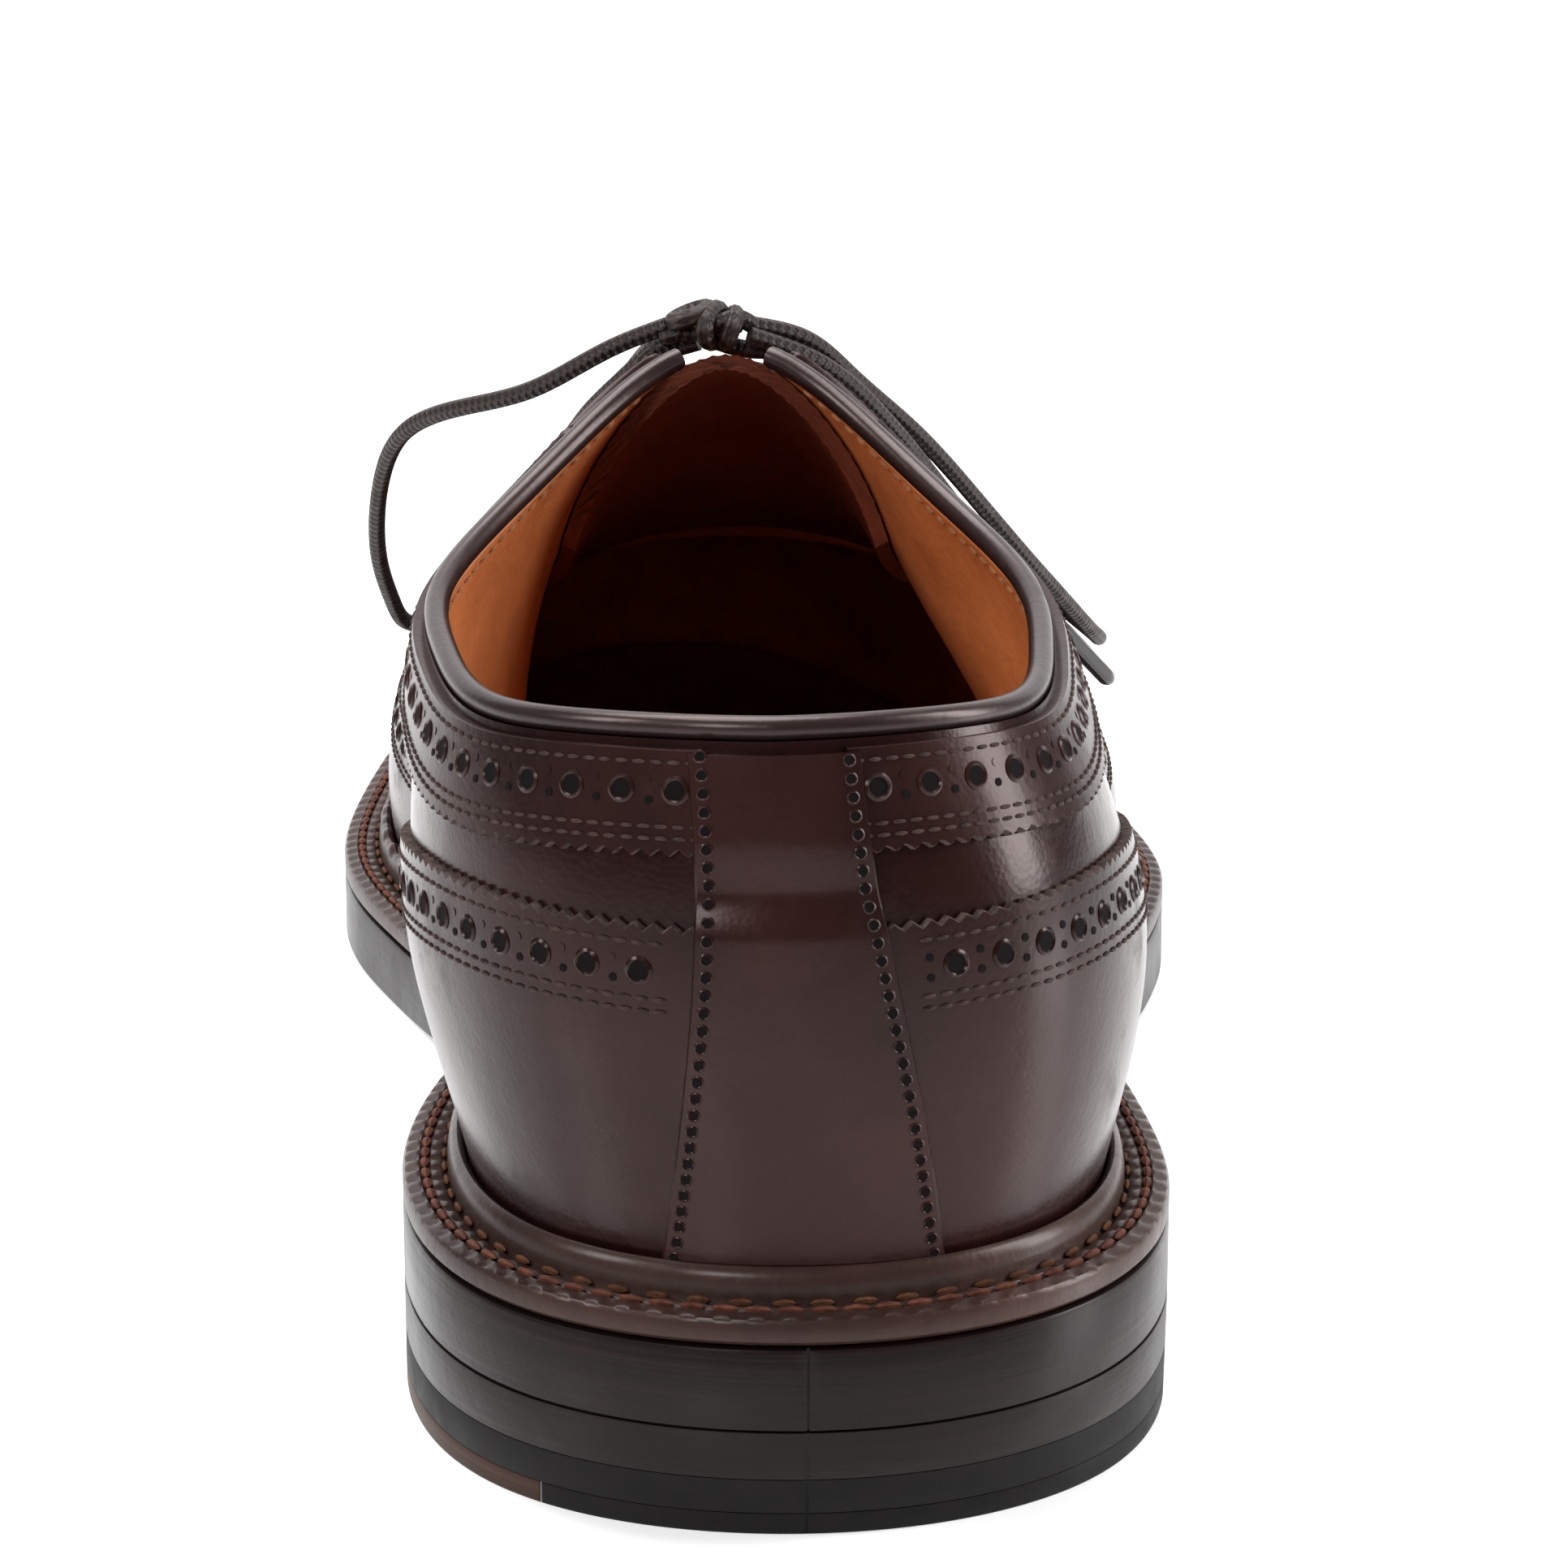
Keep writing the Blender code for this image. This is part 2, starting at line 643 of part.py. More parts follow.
def add_heel(shoe):
    stack_low = TOPLIFT_THICKNESS + GAP
    stack = heel_layer("heel_stack", stack_low, stack_low + STACK_THICKNESS)
    shoe.add("heel_stack", stack, "heel_leather")
    toplift = shoe.add("heel_toplift", heel_layer("heel_toplift", 0.0, TOPLIFT_THICKNESS), "toplift_rubber")
    pocket = shoe.add_cutter("corner_pocket", corner_box("corner_pocket", GAP / 2))
    boolean(toplift, pocket, "DIFFERENCE")
    corner = shoe.add("toplift_corner", heel_layer("toplift_corner", 0.0, TOPLIFT_THICKNESS), "corner_leather")
    block = shoe.add_cutter("corner_block", corner_box("corner_block", -GAP / 2))
    boolean(corner, block, "INTERSECT")


def edge_drop(s):
    """How far the wall ends below the topline: room for the binding, none along the throat."""
    folded = s if s <= 1 else 2 - s
    past_corner = folded - crest_station(THROAT_TOP)
    return EDGE_BELOW_TOPLINE * (1 - smooth_share(past_corner / CORNER_STATIONS))


def upper_top(s):
    """Share of the rib where the upper's wall ends."""
    top = top_edge(s)
    return top if top >= 1 else down_the_rib(s, top, edge_drop(s))


def wing_column(base):
    """Station and share of the wing's edge, and station of the top, over a station of the featherline."""
    edge, share, top = WING_TABLE.at(base)
    if base >= WING_PEAK_BASE:
        return min(edge, 1.0), 1.0, min(edge, 1.0)
    return max(edge, 0.0), min(share, 1.0), max(top, 0.0)


def add_upper(shoe):
    """Hollow upper: its wall is one layer thicker below the edge of the long wing."""
    rows = WING_ROWS + 1 + QUARTER_ROWS

    def place(column, row):
        s = 2 * column / UPPER_COLUMNS_DRAWN
        base = s if s <= 1 else 2 - s
        edge, share, crown = wing_column(base)
        if row <= WING_ROWS:
            part = row / WING_ROWS
            along = base + (edge - base) * part
            return (along if s <= 1 else 2 - along), share * part, OVERLAY
        part = (row - WING_ROWS - 1) / QUARTER_ROWS
        along = edge + (crown - edge) * part
        crown = crown if s <= 1 else 2 - crown
        top = upper_top(crown)
        lift = 0.0 if base < WING_PEAK_BASE else OVERLAY
        return (along if s <= 1 else 2 - along), share + (top - share) * part, lift

    mesh = shell("upper", UPPER_COLUMNS_DRAWN, rows, place, -WALL)
    shoe.add("upper", mesh, "cordovan")


def strip_edge(t):
    """Half width of the back strip, as a share of the featherline."""
    share = smooth_share(t / STRIP_NARROW_FROM)
    half = (STRIP_WIDTH_BOTTOM + (STRIP_WIDTH_TOP - STRIP_WIDTH_BOTTOM) * share) / 2
    return half / (upper_point(SLOPE_STEP, t) - upper_point(0.0, t)).length * SLOPE_STEP


def band_top(s):
    """Share of the rib where the overlays stop under the topline's binding."""
    return down_the_rib(s, top_edge(s), edge_drop(s) + OVERLAY_CLEARANCE)


def add_back_strip(shoe):
    """Strip over the back seam, narrow at the top and wide at the welt."""
    columns = 4
    rows = 8
    top = band_top(0.0)
    low = STRIP_START
    inner = OVERLAY + GAP

    def place(column, row):
        t = low + (top - low) * row / rows
        return (2 * column / columns - 1) * strip_edge(t), t, inner + STRIP_THICKNESS

    shoe.add("back_strip", shell("back_strip", columns, rows, place, inner), "cordovan_overlay")


def strip_side(s, t):
    """Station s kept clear of the back strip at height t."""
    edge = strip_edge(t) + OVERLAY_CLEARANCE / SOLE_LENGTH
    return min(max(s, edge), 2 - edge)


def add_facing(shoe, side):
    """Collar band that widens into the eyelet facing, on one side."""
    name = "facing_medial" if side < 0 else "facing_lateral"
    front = crest_station(THROAT_END - OVERLAY_CLEARANCE)
    step = 2 / UPPER_COLUMNS_DRAWN
    columns = int(front / step) + 1
    rows = 5

    def place(column, row):
        folded = min(step * column, front)
        s = folded if side < 0 else 2 - folded
        top = band_top(s)
        share = smooth_share((folded - BAND_END) / (FACING_START - BAND_END))
        width = COLLAR_BAND_WIDTH + (FACING_WIDTH - COLLAR_BAND_WIDTH) * share
        low = down_the_rib(s, top, width)
        t = low + (top - low) * row / rows
        return strip_side(s, t), t, FACING_GAP + OVERLAY

    shoe.add(name, shell(name, columns, rows, place, FACING_GAP), "cordovan_overlay")


def add_tongue(shoe):
    first = crest_station(TONGUE_TOP)
    last = crest_station(TONGUE_BOTTOM)
    columns = 8
    rows = 10
    outer = -(WALL + TONGUE_SLACK)

    def place(column, row):
        s = first + (last - first) * column / columns
        half = 1 - down_the_rib(s, 1.0, TONGUE_HALF_WIDTH)
        return s, 1 + (2 * row / rows - 1) * half, outer

    shoe.add("tongue", shell("tongue", columns, rows, place, outer - TONGUE_THICKNESS), "tongue_leather")


def smooth_route(points, spacing):
    """Points read from a smooth curve through a route, about spacing apart."""
    distances = [0.0]
    for before, after in zip(points, points[1:]):
        distances.append(distances[-1] + (Vector(after) - Vector(before)).length)
    curve = Spline(distances, points)
    count = max(2, round(distances[-1] / spacing))
    return [Vector(curve.at(distances[-1] * i / count)) for i in range(count + 1)]


def tube(shoe, name, points, radius, finish):
    curve = bpy.data.curves.new(name, "CURVE")
    curve.dimensions = "3D"
    curve.bevel_depth = radius
    curve.bevel_resolution = 2
    curve.use_fill_caps = True
    line = curve.splines.new("POLY")
    line.points.add(len(points) - 1)
    for spline_point, point in zip(line.points, points):
        spline_point.co = (*point, 1.0)
    return shoe.add(name, curve, finish)


def add_binding(shoe):
    """Bead along the topline, from one corner of the throat round the back to the other."""
    corner = crest_station(THROAT_TOP - 2 * BINDING_RADIUS)
    step = 2 / UPPER_COLUMNS_DRAWN
    count = int(corner / step)
    stations = [-corner, *(i * step for i in range(-count, count + 1)), corner]
    points = []
    for s in stations:
        rib = s if s >= 0 else 2 + s
        t = down_the_rib(rib, top_edge(rib), BINDING_RADIUS)
        points.append(lifted_point(rib, t, -WALL / 2))
    tube(shoe, "topline_binding", points, BINDING_RADIUS, "binding_leather")


def add_lace_bars(shoe):
    """Straight bars of the lace across the throat, from eyelet to eyelet."""
    lift = FACING_GAP + OVERLAY + GAP + LACE_RADIUS
    for row in range(LACE_ROWS):
        s = crest_station(FIRST_ROW + row * ROW_PITCH)
        medial = down_the_rib(s, top_edge(s), EYELET_FROM_EDGE)
        lateral = 2 - down_the_rib(2 - s, top_edge(2 - s), EYELET_FROM_EDGE)
        count = 8
        points = [lifted_point(s, medial + (lateral - medial) * i / count, lift) for i in range(count + 1)]
        tube(shoe, "lace_bar_%d" % (row + 1), points, LACE_RADIUS, "waxed_lace")


def add_knot(shoe):
    bm = bmesh.new()
    bmesh.ops.create_uvsphere(bm, u_segments=12, v_segments=8, radius=0.5)
    bmesh.ops.scale(bm, vec=KNOT_SIZE, verts=bm.verts[:])
    bmesh.ops.translate(bm, vec=KNOT_PLACE, verts=bm.verts[:])
    shoe.add("lace_knot", mesh_from(bm, "lace_knot"), "waxed_lace")


def add_free_laces(shoe):
    for name, route in (("lace_loop_medial", LOOP_MEDIAL), ("lace_loop_lateral", LOOP_LATERAL)):
        tube(shoe, name, smooth_route(route, LACE_POINT_SPACING), LACE_RADIUS, "waxed_lace")
    for side, route in (("medial", END_MEDIAL), ("lateral", END_LATERAL)):
        tube(shoe, "lace_end_" + side, smooth_route(route, LACE_POINT_SPACING), LACE_RADIUS, "waxed_lace")
        last = Vector(route[-1])
        direction = (last - Vector(route[-2])).normalized()
        start = last + direction * GAP
        points = [start + direction * AGLET_LENGTH * i / 2 for i in range(3)]
        tube(shoe, "aglet_" + side, points, AGLET_RADIUS, "aglet_plastic")


def main():
    for thing in list(bpy.data.objects):
        bpy.data.objects.remove(thing, do_unlink=True)
    shoe = Shoe()
    add_heel(shoe)
    add_sole(shoe)
    add_welt(shoe)
    add_insole(shoe)
    add_upper(shoe)
    add_back_strip(shoe)
    add_facing(shoe, -1)
    add_facing(shoe, 1)
    add_tongue(shoe)
    add_binding(shoe)
    add_lace_bars(shoe)
    add_knot(shoe)
    add_free_laces(shoe)


main()
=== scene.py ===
"""Looks of a longwing brogue for the right foot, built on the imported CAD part.

+Z is up, +Y runs to the toe and +X to the lateral side, in metres. The leather is laid on one
surface, the last, whose tables of named columns are those of the part's source, except WING: the
long wing's edge lies 8 to 10 mm higher at the back than the step in the solid, and the collar band
is 11 mm wide and not 13.5 mm, both as in the photograph.
"""
from __future__ import annotations

import logging
import math
from dataclasses import dataclass
from enum import Enum
from typing import Callable, Iterable, Sequence

import bmesh
import bpy
import numpy as np
from mathutils import Matrix, Vector

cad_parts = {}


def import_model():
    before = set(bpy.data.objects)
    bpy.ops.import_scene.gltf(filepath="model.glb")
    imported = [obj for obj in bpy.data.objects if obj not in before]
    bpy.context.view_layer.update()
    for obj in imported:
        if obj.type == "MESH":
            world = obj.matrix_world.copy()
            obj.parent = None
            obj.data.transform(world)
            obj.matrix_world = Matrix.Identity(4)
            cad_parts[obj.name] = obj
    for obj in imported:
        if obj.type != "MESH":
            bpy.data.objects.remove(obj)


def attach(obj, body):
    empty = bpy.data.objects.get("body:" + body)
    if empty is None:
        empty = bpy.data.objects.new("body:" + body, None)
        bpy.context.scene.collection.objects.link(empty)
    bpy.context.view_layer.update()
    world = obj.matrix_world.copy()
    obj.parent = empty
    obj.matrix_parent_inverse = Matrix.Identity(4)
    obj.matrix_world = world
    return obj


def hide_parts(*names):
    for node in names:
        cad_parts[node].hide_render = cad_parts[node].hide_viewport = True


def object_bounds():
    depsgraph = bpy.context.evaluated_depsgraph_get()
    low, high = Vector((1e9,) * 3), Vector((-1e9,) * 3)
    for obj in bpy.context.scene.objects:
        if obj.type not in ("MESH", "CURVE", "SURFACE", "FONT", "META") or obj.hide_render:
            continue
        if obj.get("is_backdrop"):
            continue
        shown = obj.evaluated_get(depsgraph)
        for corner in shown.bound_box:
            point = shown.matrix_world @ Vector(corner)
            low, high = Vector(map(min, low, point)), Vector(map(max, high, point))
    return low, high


LOG = logging.getLogger("longwing")

# Outline of the sole: along = share of the length, centre = share of the ball width,
# heel and ball = shares of half the heel width and half the ball width
OUTLINE = (
    (0.000, 0.000, 0.000, 0.000),
    (0.038, 0.000, 0.703, 0.000),
    (0.132, 0.000, 1.000, 0.000),
    (0.238, 0.004, 0.955, 0.010),
    (0.349, 0.028, 0.550, 0.232),
    (0.460, 0.040, 0.200, 0.559),
    (0.571, 0.045, 0.000, 0.874),
    (0.651, 0.034, 0.000, 0.983),
    (0.705, 0.022, 0.000, 1.000),
    (0.794, 0.002, 0.000, 0.930),
    (0.889, -0.034, 0.000, 0.740),
    (0.959, -0.052, 0.000, 0.495),
    (1.000, -0.056, 0.000, 0.000),
)

# Crest of the last, for the rib that starts at each place along the featherline:
# spine_y = share of the length, spine_x = share of the ball width, spine_z = share of the instep height
SPINE = (
    (0.00, 0.127, -0.034, 1.185),
    (0.04, 0.131, -0.038, 1.185),
    (0.13, 0.152, -0.047, 1.180),
    (0.22, 0.222, -0.047, 1.130),
    (0.35, 0.346, -0.038, 1.000),
    (0.50, 0.492, -0.018, 0.800),
    (0.62, 0.610, 0.000, 0.655),
    (0.72, 0.705, 0.000, 0.572),
    (0.82, 0.786, -0.013, 0.518),
    (0.91, 0.842, -0.036, 0.484),
    (0.97, 0.865, -0.050, 0.462),
    (1.00, 0.870, -0.054, 0.456),
)

# Form of a rib between featherline and crest: up = share of the rib's height, in = share of
# the way in to the crest, at five levels
RIBS = (
    (0.00, 0.05, -0.02, 0.22, -0.095, 0.42, -0.090, 0.66, 0.050, 0.88, 0.36),
    (0.10, 0.05, -0.03, 0.22, -0.130, 0.42, -0.110, 0.66, 0.110, 0.88, 0.40),
    (0.15, 0.05, -0.03, 0.22, -0.150, 0.42, -0.125, 0.66, 0.080, 0.88, 0.41),
    (0.22, 0.05, -0.03, 0.22, -0.160, 0.42, -0.145, 0.66, 0.000, 0.88, 0.42),
    (0.35, 0.06, -0.04, 0.22, -0.150, 0.42, -0.120, 0.66, 0.110, 0.88, 0.46),
    (0.50, 0.08, -0.03, 0.24, -0.070, 0.45, -0.030, 0.70, 0.170, 0.90, 0.50),
    (0.62, 0.10, -0.02, 0.28, -0.020, 0.52, 0.060, 0.76, 0.250, 0.93, 0.56),
    (0.72, 0.12, -0.015, 0.30, -0.005, 0.55, 0.080, 0.78, 0.270, 0.94, 0.57),
    (0.82, 0.14, -0.01, 0.32, -0.005, 0.57, 0.075, 0.80, 0.260, 0.95, 0.56),
    (0.91, 0.15, -0.01, 0.34, -0.005, 0.60, 0.075, 0.82, 0.255, 0.95, 0.55),
    (1.00, 0.16, -0.01, 0.35, -0.005, 0.62, 0.075, 0.83, 0.255, 0.95, 0.55),
)
RIB_KNOTS = (0.0, 0.12, 0.30, 0.50, 0.70, 0.86, 1.0)

# Topline: along = share of the length, height = share of the collar height
TOPLINE = (
    (0.000, 1.004),
    (0.032, 1.000),
    (0.080, 0.980),
    (0.145, 0.990),
    (0.210, 1.025),
    (0.270, 1.090),
    (0.320, 1.185),
    (0.346, 1.255),
    (0.380, 1.360),
)

# Edge of the long wing, where the photograph has it. For the rib that starts at each station of the
# featherline: the station and the share of the rib where the edge passes, and the station at which
# the upper's top is met
WING = (
    (0.00, 0.000, 0.475, 0.000),
    (0.16, 0.160, 0.480, 0.160),
    (0.26, 0.260, 0.465, 0.260),
    (0.36, 0.360, 0.430, 0.360),
    (0.46, 0.460, 0.395, 0.460),
    (0.55, 0.556, 0.400, 0.540),
    (0.60, 0.622, 0.470, 0.575),
    (0.65, 0.682, 0.590, 0.605),
    (0.69, 0.712, 0.745, 0.632),
    (0.72, 0.706, 0.880, 0.655),
    (0.75, 0.684, 1.000, 0.684),
    (0.85, 0.800, 1.000, 0.800),
    (1.00, 1.000, 1.000, 1.000),
)

# Routes of the lace outside the knot, as points on the way from the knot, metres, heel at y = 0
LOOP_MEDIAL = (
    (-0.0110, 0.1186, 0.1072), (-0.0175, 0.1200, 0.1044), (-0.0272, 0.1240, 0.0986),
    (-0.0360, 0.1300, 0.0952), (-0.0428, 0.1380, 0.0910), (-0.0466, 0.1480, 0.0825),
    (-0.0476, 0.1600, 0.0700), (-0.0462, 0.1705, 0.0612), (-0.0428, 0.1785, 0.0566),
    (-0.0382, 0.1805, 0.0596), (-0.0340, 0.1745, 0.0672), (-0.0292, 0.1610, 0.0750),
    (-0.0252, 0.1470, 0.0830), (-0.0205, 0.1340, 0.0935), (-0.0155, 0.1265, 0.1000),
    (-0.0108, 0.1216, 0.1057),
)
LOOP_LATERAL = (
    (-0.0011, 0.1190, 0.1072), (0.0051, 0.1208, 0.1054), (0.0115, 0.1258, 0.0997),
    (0.0195, 0.1330, 0.0915), (0.0282, 0.1420, 0.0808), (0.0358, 0.1505, 0.0708),
    (0.0425, 0.1620, 0.0618), (0.0472, 0.1730, 0.0552), (0.0483, 0.1800, 0.0532),
    (0.0458, 0.1855, 0.0545), (0.0408, 0.1850, 0.0588), (0.0355, 0.1800, 0.0645),
    (0.0295, 0.1690, 0.0715), (0.0243, 0.1560, 0.0782), (0.0186, 0.1425, 0.0866),
    (0.0125, 0.1310, 0.0960), (0.0060, 0.1250, 0.1020), (0.0000, 0.1220, 0.1053),
)
END_MEDIAL = (
    (-0.0072, 0.1223, 0.1067), (-0.0108, 0.1308, 0.1037), (-0.0138, 0.1410, 0.0990),
    (-0.0180, 0.1515, 0.0912), (-0.0228, 0.1625, 0.0826), (-0.0270, 0.1730, 0.0748),
)
END_LATERAL = (
    (-0.0012, 0.1167, 0.1063), (0.0065, 0.1188, 0.1030), (0.0140, 0.1243, 0.0962),
    (0.0220, 0.1340, 0.0855), (0.0290, 0.1450, 0.0750), (0.0330, 0.1522, 0.0690),
    (0.0382, 0.1585, 0.0626),
)

# Broguing and pinking, metres
PUNCH_PITCH = 0.0059
PUNCH_RADIUS = 0.00115
PUNCH_LIP = 0.0002
PINHOLE_RADIUS = 0.00046
PINHOLE_OFFSET = 0.00105
PINK_PITCH = 0.0020

# Width, height and length of a stitch in the upper, their pitch, and how far stitches and holes
# stand over the leather, metres
STITCH = (0.00055, 0.00045, 0.0015)
STITCH_PITCH = 0.0019
STAND = 0.00005

# Soft boxes: name, place, width and height, watts
LIGHTS = (
    ("overhead_box", (-0.15, 0.25, 1.30), (1.0, 0.9), 26),
    ("lateral_box", (1.00, -0.10, 0.50), (0.35, 0.9), 15),
    ("medial_box", (-1.05, -0.45, 0.80), (0.35, 0.5), 9),
    ("rear_box", (-0.55, -1.25, 0.85), (0.30, 0.45), 8),
)
WHITE = (1.0, 1.0, 1.0, 1.0)

Colour = tuple[float, float, float]
Size = tuple[float, float, float]


class Slot(Enum):
    """Material slots."""

    UPPER = "cordovan"
    OVERLAY = "cordovan_overlay"
    BINDING = "binding_leather"
    WELT = "welt_leather"
    SOLE = "sole_leather"
    HEEL = "heel_leather"
    TOPLIFT = "toplift_rubber"
    CORNER = "corner_leather"
    TONGUE = "tongue_leather"
    INSOLE = "insole_leather"
    LACE = "waxed_lace"
    AGLET = "aglet_plastic"


class Side(Enum):
    """Sides of the shoe, with the sign of X."""

    MEDIAL = -1
    LATERAL = 1


class Spline:
    """Natural cubic spline through rows of values."""

    def __init__(self, knots: Sequence[float], values: Sequence) -> None:
        """Solve the spline.

        Args:
            knots: Rising places of the rows.
            values: One row of values for each knot.
        """
        self.knots = np.asarray(knots, float)
        self.values = np.asarray(values, float)
        count = len(self.knots)
        steps = np.diff(self.knots)
        matrix = np.eye(count)
        right = np.zeros((count, self.values[0].size))
        flat = self.values.reshape(count, -1)
        for i in range(1, count - 1):
            matrix[i, i - 1:i + 2] = (steps[i - 1], 2 * (steps[i - 1] + steps[i]), steps[i])
            rise = (flat[i + 1] - flat[i]) / steps[i]
            right[i] = 6 * (rise - (flat[i] - flat[i - 1]) / steps[i - 1])
        self.bend = np.linalg.solve(matrix, right).reshape(self.values.shape)

    def at(self, place: np.ndarray) -> np.ndarray:
        """Values at each place.

        Args:
            place: Places along the knots.

        Returns:
            An array of the places' shape followed by a row's shape.
        """
        place = np.asarray(place, float)
        i = np.clip(np.searchsorted(self.knots, place) - 1, 0, len(self.knots) - 2)
        shape = place.shape + (1,) * (self.values.ndim - 1)
        step = (self.knots[i + 1] - self.knots[i]).reshape(shape)
        a = (self.knots[i + 1] - place).reshape(shape) / step
        b = 1 - a
        bend = (a ** 3 - a) * self.bend[i] + (b ** 3 - b) * self.bend[i + 1]
        return a * self.values[i] + b * self.values[i + 1] + bend * step ** 2 / 6


def smooth(share: np.ndarray) -> np.ndarray:
    """Ease from 0 to 1 over shares from 0 to 1."""
    share = np.clip(share, 0.0, 1.0)
    return share * share * (3 - 2 * share)


def lengths(points: np.ndarray) -> np.ndarray:
    """Distance of each point from the first, along the line through them."""
    steps = np.linalg.norm(np.diff(points, axis=0), axis=-1)
    return np.concatenate([[0.0], np.cumsum(steps)])


def unit(vectors: np.ndarray) -> np.ndarray:
    """Vectors scaled to length 1."""
    return vectors / np.maximum(np.linalg.norm(vectors, axis=-1, keepdims=True), 1e-12)


@dataclass
class Last:
    """The form that the leather is laid on, and the outline of the sole under it.

    Station s is 0 at the heel, 1 at the toe on the medial side and 2 back at the heel. Share t
    is 0 at the featherline, 1 at the crest and 2 at the other side's featherline.
    """

    sole_length: float = 0.315
    ball_width: float = 0.116
    heel_width: float = 0.0843
    heel_length: float = 0.078
    toplift: float = 0.007
    stack: float = 0.0054
    outsole: float = 0.0092
    welt: float = 0.003
    toe_spring: float = 0.009
    spring_curve: float = 1.8
    tread_start: float = 0.185
    tread_end: float = 0.222
    gap: float = 0.0003
    welt_show: float = 0.0048
    bead_width: float = 0.0025
    overlay: float = 0.0011
    wall: float = 0.0022
    instep_height: float = 0.107
    collar_height: float = 0.087
    throat_top: float = 0.109
    throat_end: float = 0.172
    throat_corner: float = 0.012
    throat_gap_top: float = 0.0085
    throat_gap_end: float = 0.006
    corner_stations: float = 0.045
    edge_below_topline: float = 0.0026
    lean_top: float = 0.75
    lean_curve: float = 1.5
    slope_step: float = 0.004
    stations: int = 600
    shares: int = 240
    crease_from: float = 0.42
    crease_fade: float = 0.3
    crease_bow: float = 0.006
    crease_wave: float = 0.0012
    crease_swell: float = 0.45
    creases: tuple = (
        (0.2230, 0.0021, 0.0009), (0.2145, 0.0024, 0.0013), (0.2065, 0.0022, 0.0008),
        (0.1985, 0.0026, 0.0011),
    )

    def __post_init__(self) -> None:
        """Read the tables and lay out the surface once, as a fine grid."""
        def table(rows: Sequence, ends: bool = True) -> Spline:
            knots = [math.acos(1 - 2 * row[0]) / math.pi if ends else row[0] for row in rows]
            return Spline(knots, [row[1:] for row in rows])
        self.outlines = table(OUTLINE)
        self.spines = table(SPINE)
        self.ribs = table(RIBS)
        self.toplines = table(TOPLINE, ends=False)
        self.wings = table(WING, ends=False)
        self.seat = self.toplift + self.stack + 2 * self.gap
        self.welt_top = self.outsole + self.gap + self.welt
        self.feather = self.welt_show + self.bead_width + self.gap + self.overlay
        ring = self.outline(np.linspace(0, 2, 161))
        self.middle = (ring[:, 0].min() + ring[:, 0].max()) / 2
        self.shift = np.array([-self.middle, -self.sole_length / 2, 0.0])
        self.s = np.linspace(0, 1, self.stations + 1)
        self.t = np.linspace(0, 2, 2 * self.shares + 1)
        self.points = self.surface()
        self.normals = self.outward()
        halves = (self.points[:, :self.shares + 1], self.points[:, :self.shares - 1:-1])
        self.run = [np.concatenate([np.zeros((len(self.s), 1)), np.cumsum(
            np.linalg.norm(np.diff(half, axis=1), axis=2), axis=1)], axis=1) for half in halves]
        self.tops = [self.cut(half) for half in halves]

    def outline(self, place: np.ndarray, inset: np.ndarray | float = 0.0) -> np.ndarray:
        """Points of the sole's outline, moved inwards.

        Args:
            place: Stations round the outline.
            inset: How far in, one for all or one for each.

        Returns:
            X and Y of each point, heel at Y = 0.
        """
        def edge(where: np.ndarray) -> np.ndarray:
            turn = np.mod(where, 2.0)
            side = np.where(turn <= 1, -1.0, 1.0)
            folded = np.where(turn <= 1, turn, 2 - turn)
            row = self.outlines.at(folded)
            half = row[..., 1] * self.heel_width / 2 + row[..., 2] * self.ball_width / 2
            y = self.sole_length * (1 - np.cos(math.pi * folded)) / 2
            return np.stack([row[..., 0] * self.ball_width + side * half, y], axis=-1)
        place = np.asarray(place, float)
        along = unit(edge(place + self.slope_step) - edge(place - self.slope_step))
        inwards = np.stack([along[..., 1], -along[..., 0]], axis=-1)
        return edge(place) + inwards * np.asarray(inset)[..., None]

    def tread(self, y: np.ndarray) -> np.ndarray:
        """Height of the sole's underside at each Y: seat over the heel, tread, toe spring."""
        arch = np.clip((y - self.heel_length) / (self.tread_start - self.heel_length), 0, 1)
        toe = np.clip((y - self.tread_end) / (self.sole_length - self.tread_end), 0, 1)
        return self.seat * (0.5 + 0.5 * np.cos(math.pi * arch)) + self.toe_spring * toe ** self.spring_curve

    def surface(self) -> np.ndarray:
        """The grid of the last's surface, station by share."""
        row = self.ribs.at(self.s)
        nought, one = np.zeros(len(self.s)), np.ones(len(self.s))
        ups = [nought, *(row[:, i] for i in range(0, 10, 2)), one]
        outs = [one, *(1 - row[:, i] for i in range(1, 10, 2)), nought]
        knots = [*RIB_KNOTS, *(2 - knot for knot in reversed(RIB_KNOTS[:-1]))]
        values = [np.stack(pair, axis=-1) for pair in zip(outs, ups)]
        values += [pair * (-1, 1) for pair in reversed(values[:-1])]
        form = Spline(knots, values).at(self.t)
        out, up = np.abs(form[..., 0]), form[..., 1]
        medial, lateral = self.outline(self.s, self.feather), self.outline(2 - self.s, self.feather)
        foot = np.where((self.t <= 1)[:, None, None], medial, lateral)
        spine = self.spines.at(self.s)
        centre = np.stack([(medial[:, 0] + lateral[:, 0]) / 2, spine[:, 0] * self.sole_length], axis=-1)
        flat = centre + (foot - centre) * out[..., None]
        lean = smooth(up / self.lean_top) ** self.lean_curve
        x = flat[..., 0] + (spine[:, 1] * self.ball_width - centre[:, 0]) * lean
        low = self.tread(foot[..., 1]) + self.welt_top + self.gap
        z = low + (spine[:, 2] * self.instep_height - low) * up
        return np.stack([x, flat[..., 1], z], axis=-1).transpose(1, 0, 2)

